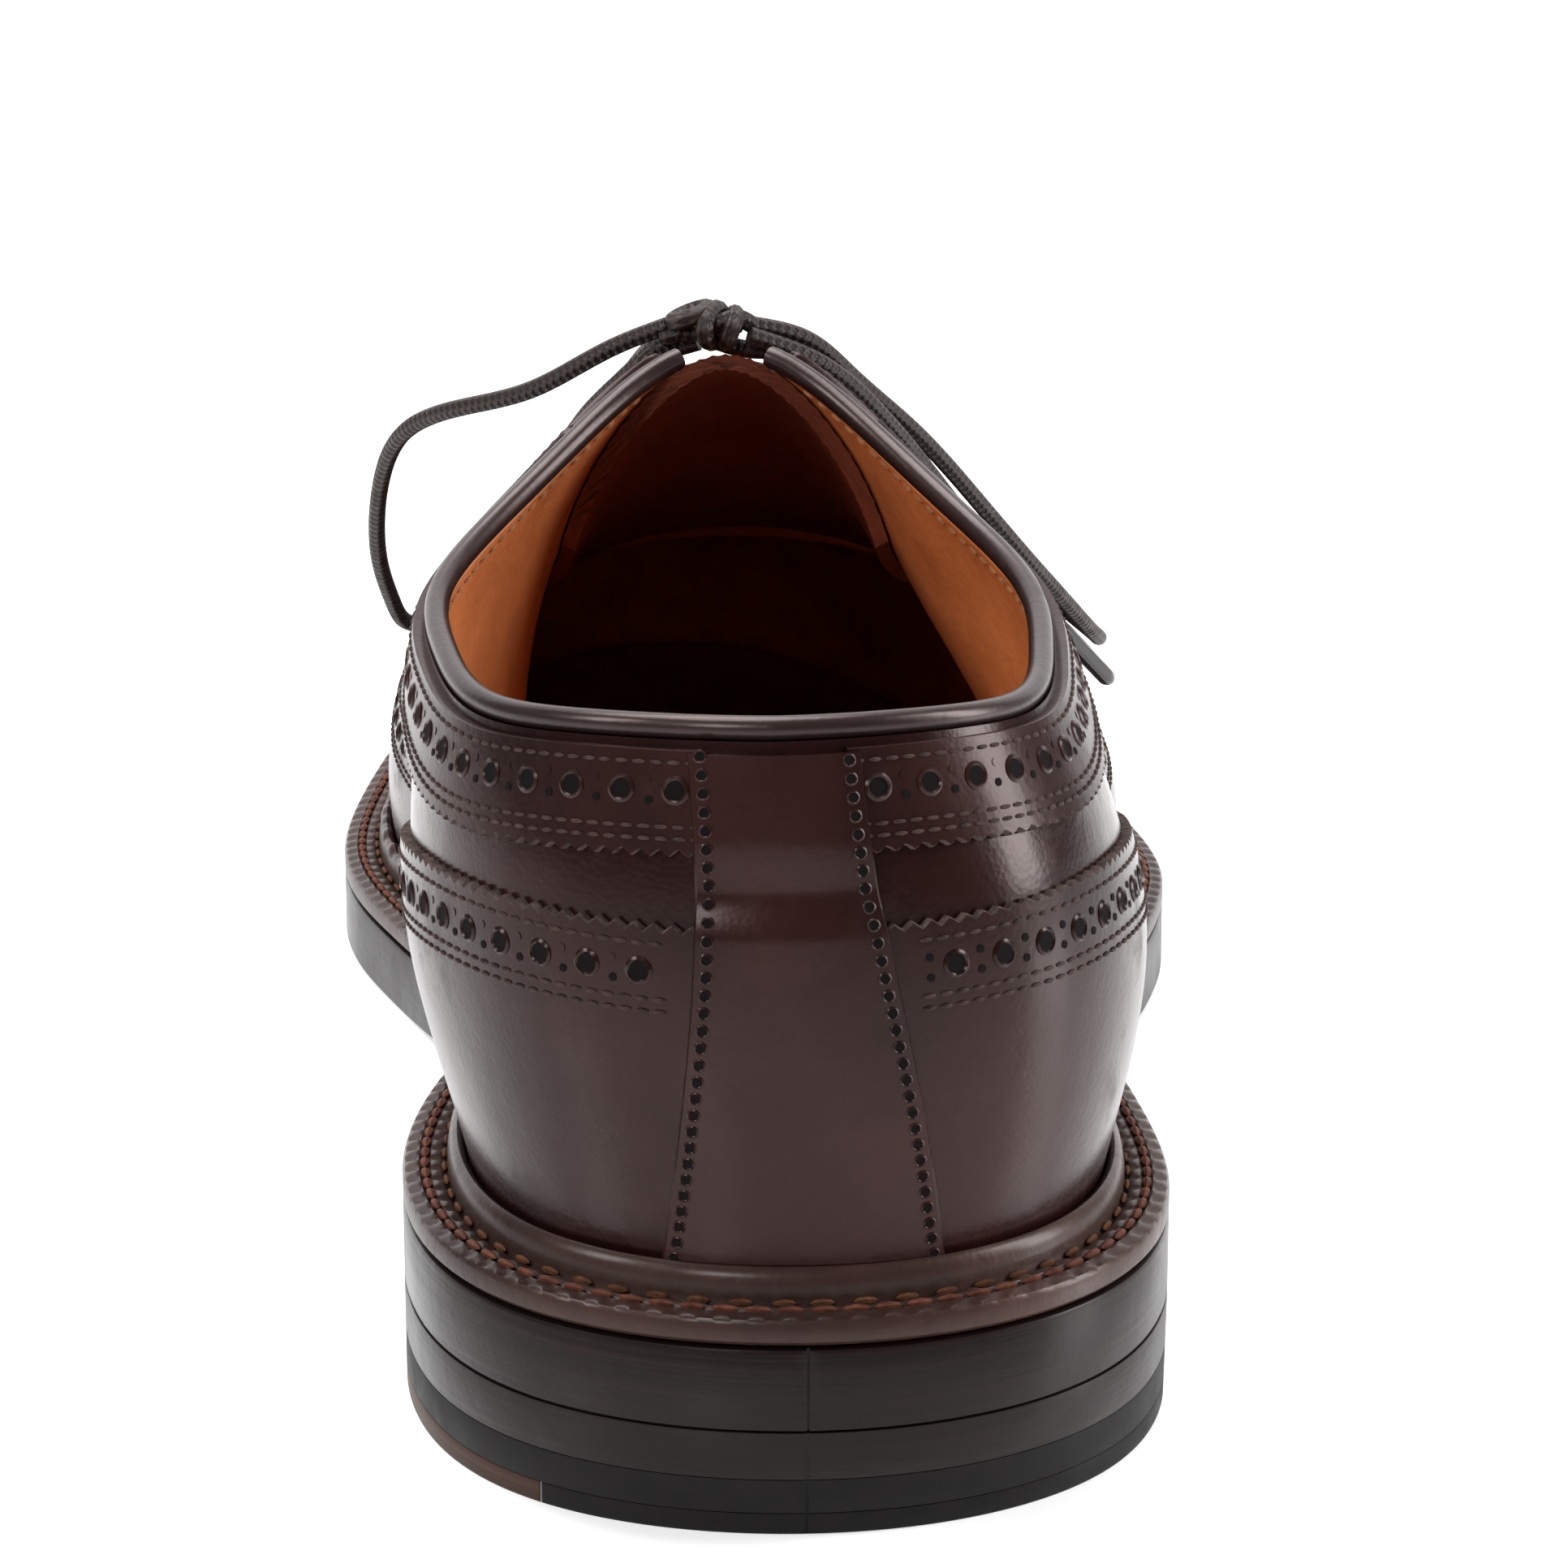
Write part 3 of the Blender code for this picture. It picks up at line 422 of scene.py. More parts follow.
    def outward(self) -> np.ndarray:
        """Outward direction at each place of the grid."""
        made = []
        for part in (self.points[:, :self.shares + 1], self.points[:, self.shares:]):
            along, across = np.gradient(part, axis=0), np.gradient(part, axis=1)
            made.append(unit(np.cross(across, along)))
        crest = unit(made[0][:, -1:] + made[1][:, :1])
        return np.concatenate([made[0][:, :-1], crest, made[1][:, 1:]], axis=1)

    def cut(self, half: np.ndarray) -> np.ndarray:
        """Share at which the collar or throat cuts each rib of one side, 1 where nothing does."""
        y, z = half[..., 1], half[..., 2]
        crest = (self.spines.at(self.s)[:, 1] * self.ball_width)[:, None]
        height = self.toplines.at(y / self.sole_length)[..., 0] * self.collar_height
        value = np.where(y < self.throat_top + self.throat_corner, z - height, -1.0)
        share = (y - self.throat_top) / (self.throat_end - self.throat_top)
        gap = (self.throat_gap_top + (self.throat_gap_end - self.throat_gap_top) * share) / 2
        inside = (y > self.throat_top - self.throat_corner) & (y < self.throat_end)
        value = np.where(inside, np.maximum(value, gap - np.abs(half[..., 0] - crest)), value)
        found = np.ones(len(self.s))
        for row, line in enumerate(value):
            hits = np.nonzero(line >= 0)[0]
            if len(hits):
                i = hits[0]
                found[row] = (i - line[i] / (line[i] - line[i - 1])) / self.shares
        return found

    def fold(self, s: np.ndarray, t: np.ndarray) -> tuple[np.ndarray, np.ndarray]:
        """Places on the grid for stations below 0 or past 1."""
        s, t = np.broadcast_arrays(np.asarray(s, float), np.asarray(t, float))
        other = (s < 0) | (s > 1)
        return np.where(s < 0, -s, np.where(s > 1, 2 - s, s)), np.where(other, 2 - t, t)

    def read(self, grid: np.ndarray, s: np.ndarray, t: np.ndarray) -> np.ndarray:
        """Values of a grid between its places."""
        s, t = self.fold(s, t)
        a, b = np.clip(s, 0, 1) * self.stations, np.clip(t, 0, 2) * self.shares
        i = np.minimum(a.astype(int), self.stations - 1)
        j = np.minimum(b.astype(int), 2 * self.shares - 1)
        a, b = (a - i)[..., None], (b - j)[..., None]
        low = grid[i, j] * (1 - b) + grid[i, j + 1] * b
        return low * (1 - a) + (grid[i + 1, j] * (1 - b) + grid[i + 1, j + 1] * b) * a

    def facing(self, s: np.ndarray, t: np.ndarray) -> np.ndarray:
        """Outward direction at each place."""
        return unit(self.read(self.normals, s, t))

    def at(self, s: np.ndarray, t: np.ndarray, lift: np.ndarray | float = 0.0) -> np.ndarray:
        """Points of the leather, with the walking creases, in world space.

        Args:
            s: Stations.
            t: Shares of the ribs.
            lift: Height over the last's surface.

        Returns:
            One point for each place.
        """
        points = self.read(self.points, s, t)
        folded = self.fold(s, t)[1]
        over = smooth((1 - np.abs(folded - 1) - self.crease_from) / self.crease_fade)
        fold = np.zeros(points.shape[:-1])
        for y, width, depth in self.creases:
            wave = self.crease_wave * np.sin(points[..., 0] * 210 + y * 900)
            away = points[..., 1] - (y + self.crease_bow * (1 - over) + wave)
            swell = self.crease_swell * np.exp(-((away - 2 * width) / width) ** 2)
            fold += depth * over * (swell - np.exp(-(away / width) ** 2))
        lift = np.asarray(lift) + fold
        return points + self.facing(s, t) * lift[..., None] + self.shift

    def top(self, s: np.ndarray) -> np.ndarray:
        """Share of the rib where collar or throat cuts, for stations of either side."""
        s = np.asarray(s, float)
        return np.where(s <= 1, np.interp(s, self.s, self.tops[0]), np.interp(2 - s, self.s, self.tops[1]))

    def below(self, s: np.ndarray, t: np.ndarray, distance: np.ndarray | float) -> np.ndarray:
        """Share of the rib a distance below the share t.

        Args:
            s: Stations, a flat array.
            t: Shares to start from.
            distance: Distances down the rib.

        Returns:
            One share for each station.
        """
        s, t, distance = np.broadcast_arrays(np.atleast_1d(s), t, distance)
        shares = np.linspace(0, 1, self.shares + 1)
        found = np.zeros(len(s))
        for k, (place, start, drop) in enumerate(zip(s, t, distance)):
            run = self.run[0 if place <= 1 else 1]
            a = min(abs(place if place <= 1 else 2 - place), 1.0) * self.stations
            i = min(int(a), self.stations - 1)
            line = run[i] * (1 - a + i) + run[i + 1] * (a - i)
            found[k] = np.interp(np.interp(start, shares, line) - drop, line, shares)
        return found

    def crest_station(self, y: float) -> float:
        """Station whose crest stands at Y, heel at 0."""
        return float(np.interp(y, self.spines.at(self.s)[:, 0] * self.sole_length, self.s))

    def edge_drop(self, s: np.ndarray) -> np.ndarray:
        """How far the wall ends below the topline, to make room for the binding."""
        folded = np.where(np.asarray(s) <= 1, s, 2 - np.asarray(s))
        past = folded - self.crest_station(self.throat_top)
        return self.edge_below_topline * (1 - smooth(past / self.corner_stations))


@dataclass(frozen=True)
class Route:
    """A line on the last: stations and shares."""

    s: np.ndarray
    t: np.ndarray

    def spread(self, last: Last, pitch: float, lift: float = 0.0) -> "Route":
        """The same line with a place every pitch metres.

        Args:
            last: The last.
            pitch: Distance between the places.
            lift: Height at which distances are measured.

        Returns:
            The evenly spread route.
        """
        run = lengths(last.at(self.s, self.t, lift))
        count = max(2, round(run[-1] / pitch))
        places = np.linspace(0, run[-1], count + 1)
        return Route(np.interp(places, run, self.s), np.interp(places, run, self.t))


class Maker:
    """Turns grids of points, rows of stitches and rows of holes into finished pieces."""

    def __init__(self, last: Last) -> None:
        """Remember the last that the pieces lie on."""
        self.last = last

    def loft(self, name: str, points: np.ndarray, closed: bool = False,
             flip: bool = False) -> bpy.types.Object:
        """Skin over a grid of points, with its own UV map in metres.

        Args:
            name: Name of the piece.
            points: Grid of points, along by across.
            closed: Whether ends are filled, doubles merged and normals found anew.
            flip: Whether an open skin's faces are turned over.

        Returns:
            The new object, at the origin.
        """
        along, across = points.shape[0] - 1, points.shape[1] - 1
        bm = bmesh.new()
        bmesh.ops.create_grid(bm, x_segments=along, y_segments=across, size=1.0)
        mesh = bpy.data.meshes.new(name)
        bm.to_mesh(mesh)
        bm.free()
        flat = np.empty(len(mesh.vertices) * 3)
        mesh.vertices.foreach_get("co", flat)
        flat = flat.reshape(-1, 3)
        i = np.rint((flat[:, 0] + 1) / 2 * along).astype(int)
        j = np.rint((flat[:, 1] + 1) / 2 * across).astype(int)
        mesh.vertices.foreach_set("co", points[i, j].ravel())
        u = lengths(points[:, across // 2])
        steps = np.linalg.norm(np.diff(points, axis=1), axis=2)
        v = np.concatenate([np.zeros((along + 1, 1)), np.cumsum(steps, axis=1)], axis=1)
        corners = np.empty(len(mesh.loops), int)
        mesh.loops.foreach_get("vertex_index", corners)
        uv = mesh.uv_layers.active or mesh.uv_layers.new(name="UVMap")
        uv.data.foreach_set("uv", np.stack([u[i], v[i, j]], axis=-1)[corners].ravel())
        bm = bmesh.new()
        bm.from_mesh(mesh)
        if closed:
            bmesh.ops.remove_doubles(bm, verts=bm.verts[:], dist=1e-6)
            bmesh.ops.holes_fill(bm, edges=bm.edges[:], sides=0)
            bmesh.ops.recalc_face_normals(bm, faces=bm.faces[:])
        elif flip:
            bmesh.ops.reverse_faces(bm, faces=bm.faces[:])
        return self.object(name, bm, mesh)

    def object(self, name: str, bm: bmesh.types.BMesh,
               mesh: bpy.types.Mesh | None = None) -> bpy.types.Object:
        """Object from a bmesh, smooth shaded with sharp edges kept.

        Args:
            name: Name of the piece.
            bm: The bmesh, freed here.
            mesh: Mesh to fill, or None for a new one.

        Returns:
            The object, linked to the scene.
        """
        mesh = mesh or bpy.data.meshes.new(name)
        bm.to_mesh(mesh)
        bm.free()
        mesh.shade_smooth()
        mesh.set_sharp_from_angle(angle=math.radians(40))
        piece = bpy.data.objects.new(name, mesh)
        bpy.context.scene.collection.objects.link(piece)
        return piece

    def panel(self, name: str, s: np.ndarray, t: np.ndarray, lift: np.ndarray) -> bpy.types.Object:
        """Skin over places on the last, faces outwards."""
        return self.loft(name, self.last.at(s, t, lift), flip=True)

    def frames(self, line: np.ndarray, up: np.ndarray, pitch: float, start: float = 0.5) -> list[Matrix]:
        """Evenly spaced frames along a line.

        Args:
            line: Points of the line.
            up: Outward direction at each point.
            pitch: Distance between the frames.
            start: First frame, in pitches from the line's start.

        Returns:
            Matrices whose X runs sideways, Y outwards and Z along the line.
        """
        run = lengths(line)
        places = np.arange(start * pitch, run[-1], pitch)
        found = []
        for place in places:
            spot, ahead, behind, out = (
                np.array([np.interp(place + step, run, values[:, k]) for k in range(3)])
                for values, step in ((line, 0.0), (line, pitch / 4), (line, -pitch / 4), (up, 0.0)))
            forward = unit(ahead - behind)
            side = unit(np.cross(out, forward))
            out = np.cross(forward, side)
            found.append(Matrix((
                (side[0], out[0], forward[0], spot[0]), (side[1], out[1], forward[1], spot[1]),
                (side[2], out[2], forward[2], spot[2]), (0, 0, 0, 1))))
        return found

    def stitch(self, bm: bmesh.types.BMesh, frames: Iterable[Matrix], size: Size) -> None:
        """Add one small rounded stitch at each frame; size is its width, height and length."""
        for frame in frames:
            scale = Matrix.Diagonal((size[0] / 2, size[1] / 2, size[2] / 2, 1))
            bmesh.ops.create_uvsphere(bm, u_segments=6, v_segments=4, radius=1, matrix=frame @ scale)

    def punch(self, bm: bmesh.types.BMesh, frames: Iterable[Matrix], radius: float, lip: float) -> None:
        """Add a punched hole at each frame: a raised lip, a short wall and a floor disc finished in painted
        shade, standing for the shadowed inside of the hole.

        Args:
            bm: Where the holes go; faces of the floor get material 1, the painted shade.
            frames: Places, Y outwards.
            radius: Radius of the hole.
            lip: Height of the lip, 0 for a bare pinhole.
        """
        turn = Matrix.Rotation(-math.pi / 2, 4, "X")
        segments, feet, crown, floor, lifted = 18 if lip else 8, (1.32, 0.86), 1.06, 0.9, 0.00003
        for frame in frames:
            base = frame @ turn
            before = len(bm.faces)
            for foot in feet if lip else ():
                bmesh.ops.create_cone(
                    bm, cap_ends=False, segments=segments, radius1=radius * foot, radius2=radius * crown,
                    depth=lip, matrix=base @ Matrix.Translation((0, 0, lip / 2)))
            inner = len(bm.faces)
            # The floor disc lies just over the leather; its finish is painted shade for the hole's inside.
            bmesh.ops.create_circle(
                bm, cap_ends=True, segments=segments, radius=radius * floor if lip else radius,
                matrix=base @ Matrix.Translation((0, 0, lifted)))
            bm.faces.ensure_lookup_table()
            for face in bm.faces[inner:]:
                face.material_index = 1
            for face in bm.faces[before:inner]:
                face.smooth = True

    def settle(self, piece: bpy.types.Object, finishes: Sequence, slot: Slot,
               *nodes: str) -> bpy.types.Object:
        """Dress a piece, fix it to the shoe and hide the CAD nodes that it stands for.

        Args:
            piece: The piece.
            finishes: Materials for its slots, in order.
            slot: Not used.
            nodes: CAD nodes that it replaces.

        Returns:
            The piece.
        """
        for finish in finishes:
            piece.data.materials.append(finish)
        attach(piece, "root")
        if nodes:
            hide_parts(*nodes)
        LOG.info("%s: %d faces", piece.name, len(piece.data.polygons))
        return piece


class Shader:
    """A material's node tree, with short ways to add nodes and link them."""

    def __init__(self, name: str) -> None:
        """Make the material; self.skin is its Principled shader."""
        self.material = bpy.data.materials.new(name)
        self.material.use_nodes = True
        self.tree = self.material.node_tree
        self.skin = self.tree.nodes["Principled BSDF"]

    def add(self, kind: str, inputs: dict | None = None, **settings: object) -> bpy.types.Node:
        """Add a node.

        Args:
            kind: Node type without the ShaderNode prefix.
            inputs: Values or sockets for the node's inputs, by name or index.
            settings: Properties of the node.

        Returns:
            The node.
        """
        node = self.tree.nodes.new("ShaderNode" + kind)
        for name, value in settings.items():
            setattr(node, name, value)
        for name, value in (inputs or {}).items():
            self.put(node, name, value)
        return node

    def put(self, node: bpy.types.Node, name: str | int, value: object) -> None:
        """Set or link one input of a node."""
        if isinstance(value, bpy.types.NodeSocket):
            self.tree.links.new(value, node.inputs[name])
        else:
            node.inputs[name].default_value = value

    def dress(self, inputs: dict) -> bpy.types.Material:
        """Set or link inputs of the Principled shader, by name, and return the material."""
        for name, value in inputs.items():
            self.put(self.skin, name, value)
        return self.material

    def place(self, kind: str = "Object") -> bpy.types.NodeSocket:
        """Coordinates of a kind."""
        return self.add("TexCoord").outputs[kind]

    def math(self, operation: str, *values: object) -> bpy.types.NodeSocket:
        """Result of a Math node."""
        node = self.add("Math", dict(enumerate(values)), operation=operation)
        return node.outputs[0]

    def span(self, value: object, low: float, high: float, start: float = 0.0,
             end: float = 1.0) -> bpy.types.NodeSocket:
        """Value mapped from low..high to start..end, clamped."""
        return self.add("MapRange", {0: value, 1: low, 2: high, 3: start, 4: end}).outputs[0]

    def noise(self, place: object, scale: float, detail: float = 2.0,
              rough: float = 0.5) -> bpy.types.NodeSocket:
        """Noise value over a place."""
        return self.add("TexNoise", {"Vector": place, "Scale": scale, "Detail": detail,
                                     "Roughness": rough}).outputs["Fac"]

    def blend(self, share: object, first: object, second: object) -> bpy.types.NodeSocket:
        """Colour between two colours."""
        node = self.add("Mix", data_type="RGBA")
        self.put(node, 0, share)
        self.put(node, 6, (*first, 1.0) if isinstance(first, tuple) else first)
        self.put(node, 7, (*second, 1.0) if isinstance(second, tuple) else second)
        return node.outputs[2]

    def relief(self, height: object, depth: float, strength: float,
               under: object = None) -> bpy.types.NodeSocket:
        """Bump from a height, over another bump."""
        inputs = {"Height": height, "Distance": depth, "Strength": strength}
        if under is not None:
            inputs["Normal"] = under
        return self.add("Bump", inputs).outputs[0]


@dataclass(frozen=True)
class Leather:
    """Polished leather: deep pigment with clouds, fine pores, handling marks and a wax coat."""

    name: str
    deep: Colour
    light: Colour
    rough: float = 0.24
    coat: float = 0.10
    coat_rough: float = 0.14
    pores: float = 0.16
    ripple: float = 0.25
    gloss: float = 0.17
    sheen: Colour = (1.0, 0.72, 0.69)

    def material(self) -> bpy.types.Material:
        """The material, on Object coordinates."""
        made = Shader(self.name)
        place = made.place()
        cloud = made.span(made.noise(place, 26, 5, 0.6), 0.34, 0.70)
        fleck = made.span(made.noise(place, 210, 3, 0.6), 0.55, 0.80, 0.0, 0.5)
        pigment = made.blend(cloud, self.deep, self.light)
        rub = made.span(made.noise(place, 75, 6, 0.68), 0.56, 0.74)
        wave = made.relief(made.noise(place, 120, 3, 0.5), 0.0006, self.ripple)
        pore = made.add("TexVoronoi", {"Vector": place, "Scale": 1500.0}).outputs["Distance"]
        return made.dress({
            "Base Color": made.blend(fleck, pigment, self.deep),
            "Roughness": made.span(rub, 0.0, 1.0, self.rough, self.rough + 0.22),
            "Normal": made.relief(pore, 0.0001, self.pores, wave),
            "Coat Weight": self.coat, "Coat Roughness": self.coat_rough,
            "Specular IOR Level": self.gloss, "Specular Tint": (*self.sheen, 1.0)})


@dataclass(frozen=True)
class EdgeLeather:
    """Cut and dyed edge of stacked leather: thin level lines, wax and small dents."""

    name: str
    deep: Colour
    light: Colour
    rough: float = 0.34
    coat: float = 0.1
    layer: float = 0.0018

    def material(self) -> bpy.types.Material:
        """The material; its lines lie level, so they follow Object Z."""
        made = Shader(self.name)
        place = made.place()
        flat = made.add("Mapping", {"Vector": place, "Scale": (12.0, 12.0, 1.6 / self.layer)}).outputs[0]
        lines = made.noise(flat, 1.0, 6, 0.62)
        cloud = made.noise(place, 40, 4, 0.6)
        share = made.math("MULTIPLY", made.span(lines, 0.42, 0.72), made.span(cloud, 0.3, 0.7, 0.4, 1.0))
        dents = made.relief(made.noise(place, 160, 4, 0.6), 0.0005, 0.25)
        return made.dress({
            "Base Color": made.blend(share, self.deep, self.light),
            "Roughness": made.span(cloud, 0.3, 0.8, self.rough, self.rough + 0.2),
            "Normal": made.relief(lines, 0.0003, 0.35, dents),
            "Specular IOR Level": 0.12, "Coat Weight": self.coat, "Coat Roughness": 0.2})


@dataclass(frozen=True)
class Lining:
    """Undyed or lightly dyed leather: fine grain, worn and darkened patches, hardly any gloss."""

    name: str
    deep: Colour
    light: Colour
    rough: float = 0.62

    def material(self) -> bpy.types.Material:
        """The material, on Object coordinates."""
        made = Shader(self.name)
        place = made.place()
        cloud = made.span(made.noise(place, 34, 6, 0.62), 0.3, 0.72)
        grain = made.add("TexVoronoi", {"Vector": place, "Scale": 900.0}).outputs["Distance"]
        fuzz = made.relief(made.noise(place, 420, 4, 0.6), 0.0003, 0.35)
        return made.dress({
            "Base Color": made.blend(cloud, self.deep, self.light),
            "Roughness": made.span(cloud, 0.0, 1.0, self.rough - 0.12, self.rough + 0.1),
            "Normal": made.relief(grain, 0.0002, 0.3, fuzz)})


@dataclass(frozen=True)
class Braid:
    """Round braided cord, waxed: crossing strands that follow the piece's own UV map in metres, lighter on
    their crowns and deeper in the grooves as painted shade.
    """

    name: str
    deep: Colour
    light: Colour
    pitch: float = 0.0021
    girth: float = 0.0022 * math.pi
    strands: int = 6
    rough: float = 0.5
    depth: float = 0.0003

    def material(self) -> bpy.types.Material:
        """The material."""
        made = Shader(self.name)
        parts = made.add("SeparateXYZ", {0: made.place("UV")})
        along = made.math("MULTIPLY", parts.outputs[0], 2 * math.pi / self.pitch)
        around = made.math("MULTIPLY", parts.outputs[1], 2 * math.pi * self.strands / self.girth / 2)
        left = made.math("SINE", made.math("ADD", along, around))
        right = made.math("SINE", made.math("SUBTRACT", along, around))
        height = made.span(made.math("MULTIPLY", left, right), -0.6, 0.6)
        fray = made.noise(made.place(), 500, 3, 0.6)
        # Painted shade: the colour goes deeper in the grooves between strands and lighter on their crowns,
        # times a random fray.
        groove_shade_and_fray = made.math("MULTIPLY", height, made.span(fray, 0.3, 0.7, 0.5, 1.0))
        return made.dress({
            "Base Color": made.blend(groove_shade_and_fray, self.deep, self.light),
            "Roughness": made.span(fray, 0.3, 0.7, self.rough - 0.1, self.rough + 0.15),
            "Normal": made.relief(height, self.depth, 0.8, made.relief(fray, 0.0001, 0.3)),
            "Specular IOR Level": 0.25})


@dataclass(frozen=True)
class Plain:
    """Thread, rubber, film or the painted shade inside a hole: one colour with fine mottling."""

    name: str
    deep: Colour
    light: Colour
    rough: float = 0.6
    scale: float = 600.0
    coat: float = 0.0
    depth: float = 0.0001

    def material(self) -> bpy.types.Material:
        """The material, on Object coordinates."""
        made = Shader(self.name)
        mottle = made.noise(made.place(), self.scale, 4, 0.6)
        return made.dress({
            "Base Color": made.blend(made.span(mottle, 0.35, 0.68), self.deep, self.light),
            "Roughness": made.span(mottle, 0.3, 0.7, self.rough - 0.06, self.rough + 0.06),
            "Normal": made.relief(mottle, self.depth, 0.4),
            "Specular IOR Level": 0.12, "Coat Weight": self.coat})


class Wardrobe:
    """Every finish of the shoe, made once."""

    def __init__(self) -> None:
        """Make the materials; each finish is its name, deep and light colour, and what differs."""
        def made(kind: type, *looks: object, **others: float) -> bpy.types.Material:
            return kind(*looks, **others).material()
        wine, dusk = (0.0080, 0.0024, 0.0022), (0.022, 0.0068, 0.0060)
        soot = (0.0055, 0.0028, 0.0026)
        self.upper = made(Leather, "polished_quarter", wine, dusk)
        self.wing = made(Leather, "polished_wing", (0.0075, 0.0024, 0.0022), (0.021, 0.0066, 0.0058), 0.27)
        self.overlay = made(Leather, "polished_overlay", (0.0095, 0.0034, 0.0031),
                            (0.028, 0.0095, 0.0085), 0.30)
        self.binding = made(Leather, "rolled_binding", (0.010, 0.0055, 0.0055), (0.022, 0.013, 0.012),
                            0.34, 0.15, 0.2, gloss=0.3)
        self.lining = made(Lining, "lining_leather", (0.32, 0.085, 0.020), (0.58, 0.19, 0.050))
        self.sock = made(Lining, "sock_leather", (0.24, 0.090, 0.032), (0.44, 0.19, 0.075), 0.55)
        self.tongue = made(Leather, "tongue_hide", (0.110, 0.028, 0.016), (0.210, 0.060, 0.032),
                           0.42, 0.1, 0.3, 0.4, 0.5)
        self.welt = made(Leather, "waxed_welt", (0.014, 0.007, 0.006), (0.045, 0.022, 0.017),
                         0.42, 0.25, 0.25, 0.3, 0.6)
        self.sole = made(EdgeLeather, "burnished_edge", soot, (0.013, 0.0058, 0.0048), 0.26, 0.08)
        self.heel = made(EdgeLeather, "stacked_edge", soot, (0.013, 0.0060, 0.0050), 0.3, 0.06)
        self.rubber = made(Plain, "toplift_rubber_black", (0.005, 0.0042, 0.0042),
                           (0.009, 0.0072, 0.0072), 0.55, 240.0)
        self.corner = made(EdgeLeather, "corner_edge", (0.035, 0.015, 0.010), (0.090, 0.045, 0.030), 0.5)
        self.thread = made(Plain, "upper_thread", (0.014, 0.007, 0.006), (0.050, 0.026, 0.021), 0.55, 900.0)
        self.lock_thread = made(Plain, "welt_thread", (0.055, 0.017, 0.010), (0.13, 0.045, 0.028), 0.6, 700.0)
        # Inseam thread: its own orange-brown, darkened as painted shade of the gap under the welt's bead.
        self.inseam_thread = made(Plain, "inseam_thread", (0.050, 0.019, 0.009), (0.11, 0.045, 0.020),
                                  0.7, 700.0)
        # Raw cut edge: its own lighter brown-grey, lightened further as a painted highlight where the pinked
        # edges catch the light.
        self.cut_edge_and_highlight = made(Plain, "cut_leather_edge", (0.030, 0.020, 0.018), (0.10, 0.070, 0.062),
                             0.7, 900.0)
        self.lining_thread = made(Plain, "lining_thread", (0.20, 0.085, 0.035), (0.36, 0.17, 0.08),
                                  0.6, 700.0)
        # Painted shade: near-black floors of the punched holes, eyelets and strip holes, standing for their
        # shadowed insides.
        self.dark = made(Plain, "punched_dark", (0.0018, 0.0012, 0.0012), (0.004, 0.0025, 0.0025), 0.9, 900.0)
        self.lace = made(Braid, "waxed_braid", (0.009, 0.0052, 0.0044), (0.046, 0.030, 0.025))
        self.aglet = made(Plain, "aglet_film", (0.006, 0.004, 0.004), (0.014, 0.010, 0.009), 0.2, 300.0, 0.6)


@dataclass
class Workshop:
    """What every sub-assembly needs: the last, the maker and the finishes."""

    last: Last
    maker: Maker
    finish: Wardrobe

    def row(self, bm: bmesh.types.BMesh, route: Route, lift: float, pitch: float, size: Size) -> None:
        """Add a row of stitches along a route on the last.

        Args:
            bm: Where the stitches go.
            route: The line.
            lift: Height of the leather they lie on.
            pitch: Distance between stitches.
            size: Width, height and length of a stitch.
        """
        self.maker.stitch(bm, self.places(route, lift, pitch), size)

    def places(self, route: Route, lift: float, pitch: float, start: float = 0.5) -> list[Matrix]:
        """Frames along a route on the last."""
        fine = route.spread(self.last, 0.0008, lift)
        outwards = self.last.facing(fine.s, fine.t)
        return self.maker.frames(self.last.at(fine.s, fine.t, lift), outwards, pitch, start)

    def broguing(self, bm: bmesh.types.BMesh, line: Callable[[float], Route], lift: float) -> None:
        """Add a brogued row: large holes with a pair of pinholes between them.

        Args:
            bm: Where the holes go.
            line: Route at a distance to one side of the row's middle.
            lift: Height of the leather.
        """
        self.maker.punch(bm, self.places(line(0.0), lift, PUNCH_PITCH), PUNCH_RADIUS, PUNCH_LIP)
        for offset in (-PINHOLE_OFFSET, PINHOLE_OFFSET):
            frames = self.places(line(offset), lift, PUNCH_PITCH, 1.0)
            self.maker.punch(bm, frames, PINHOLE_RADIUS, 0.0)


def pinking(run: np.ndarray, depth: float) -> np.ndarray:
    """Depth of the zigzag cut at each distance along an edge."""
    phase = np.mod(run / PINK_PITCH, 1.0)
    return depth * (1 - np.abs(2 * phase - 1))


def show_cut_edge(piece: bpy.types.Object, along: int, cut: tuple[int, ...]) -> None:
    """Give the faces of a lofted piece's cut edge its second finish.

    Args:
        piece: The piece, lofted from a grid.
        along: Faces along the grid.
        cut: Which of the lines of faces are the cut edge.
    """
    for face in piece.data.polygons:
        face.material_index = int(face.index // along in cut)


def weld(piece: bpy.types.Object) -> None:
    """Join the two halves of a piece where their edges meet."""
    bm = bmesh.new()
    bm.from_mesh(piece.data)
    bmesh.ops.remove_doubles(bm, verts=bm.verts[:], dist=1e-5)
    bm.to_mesh(piece.data)
    bm.free()


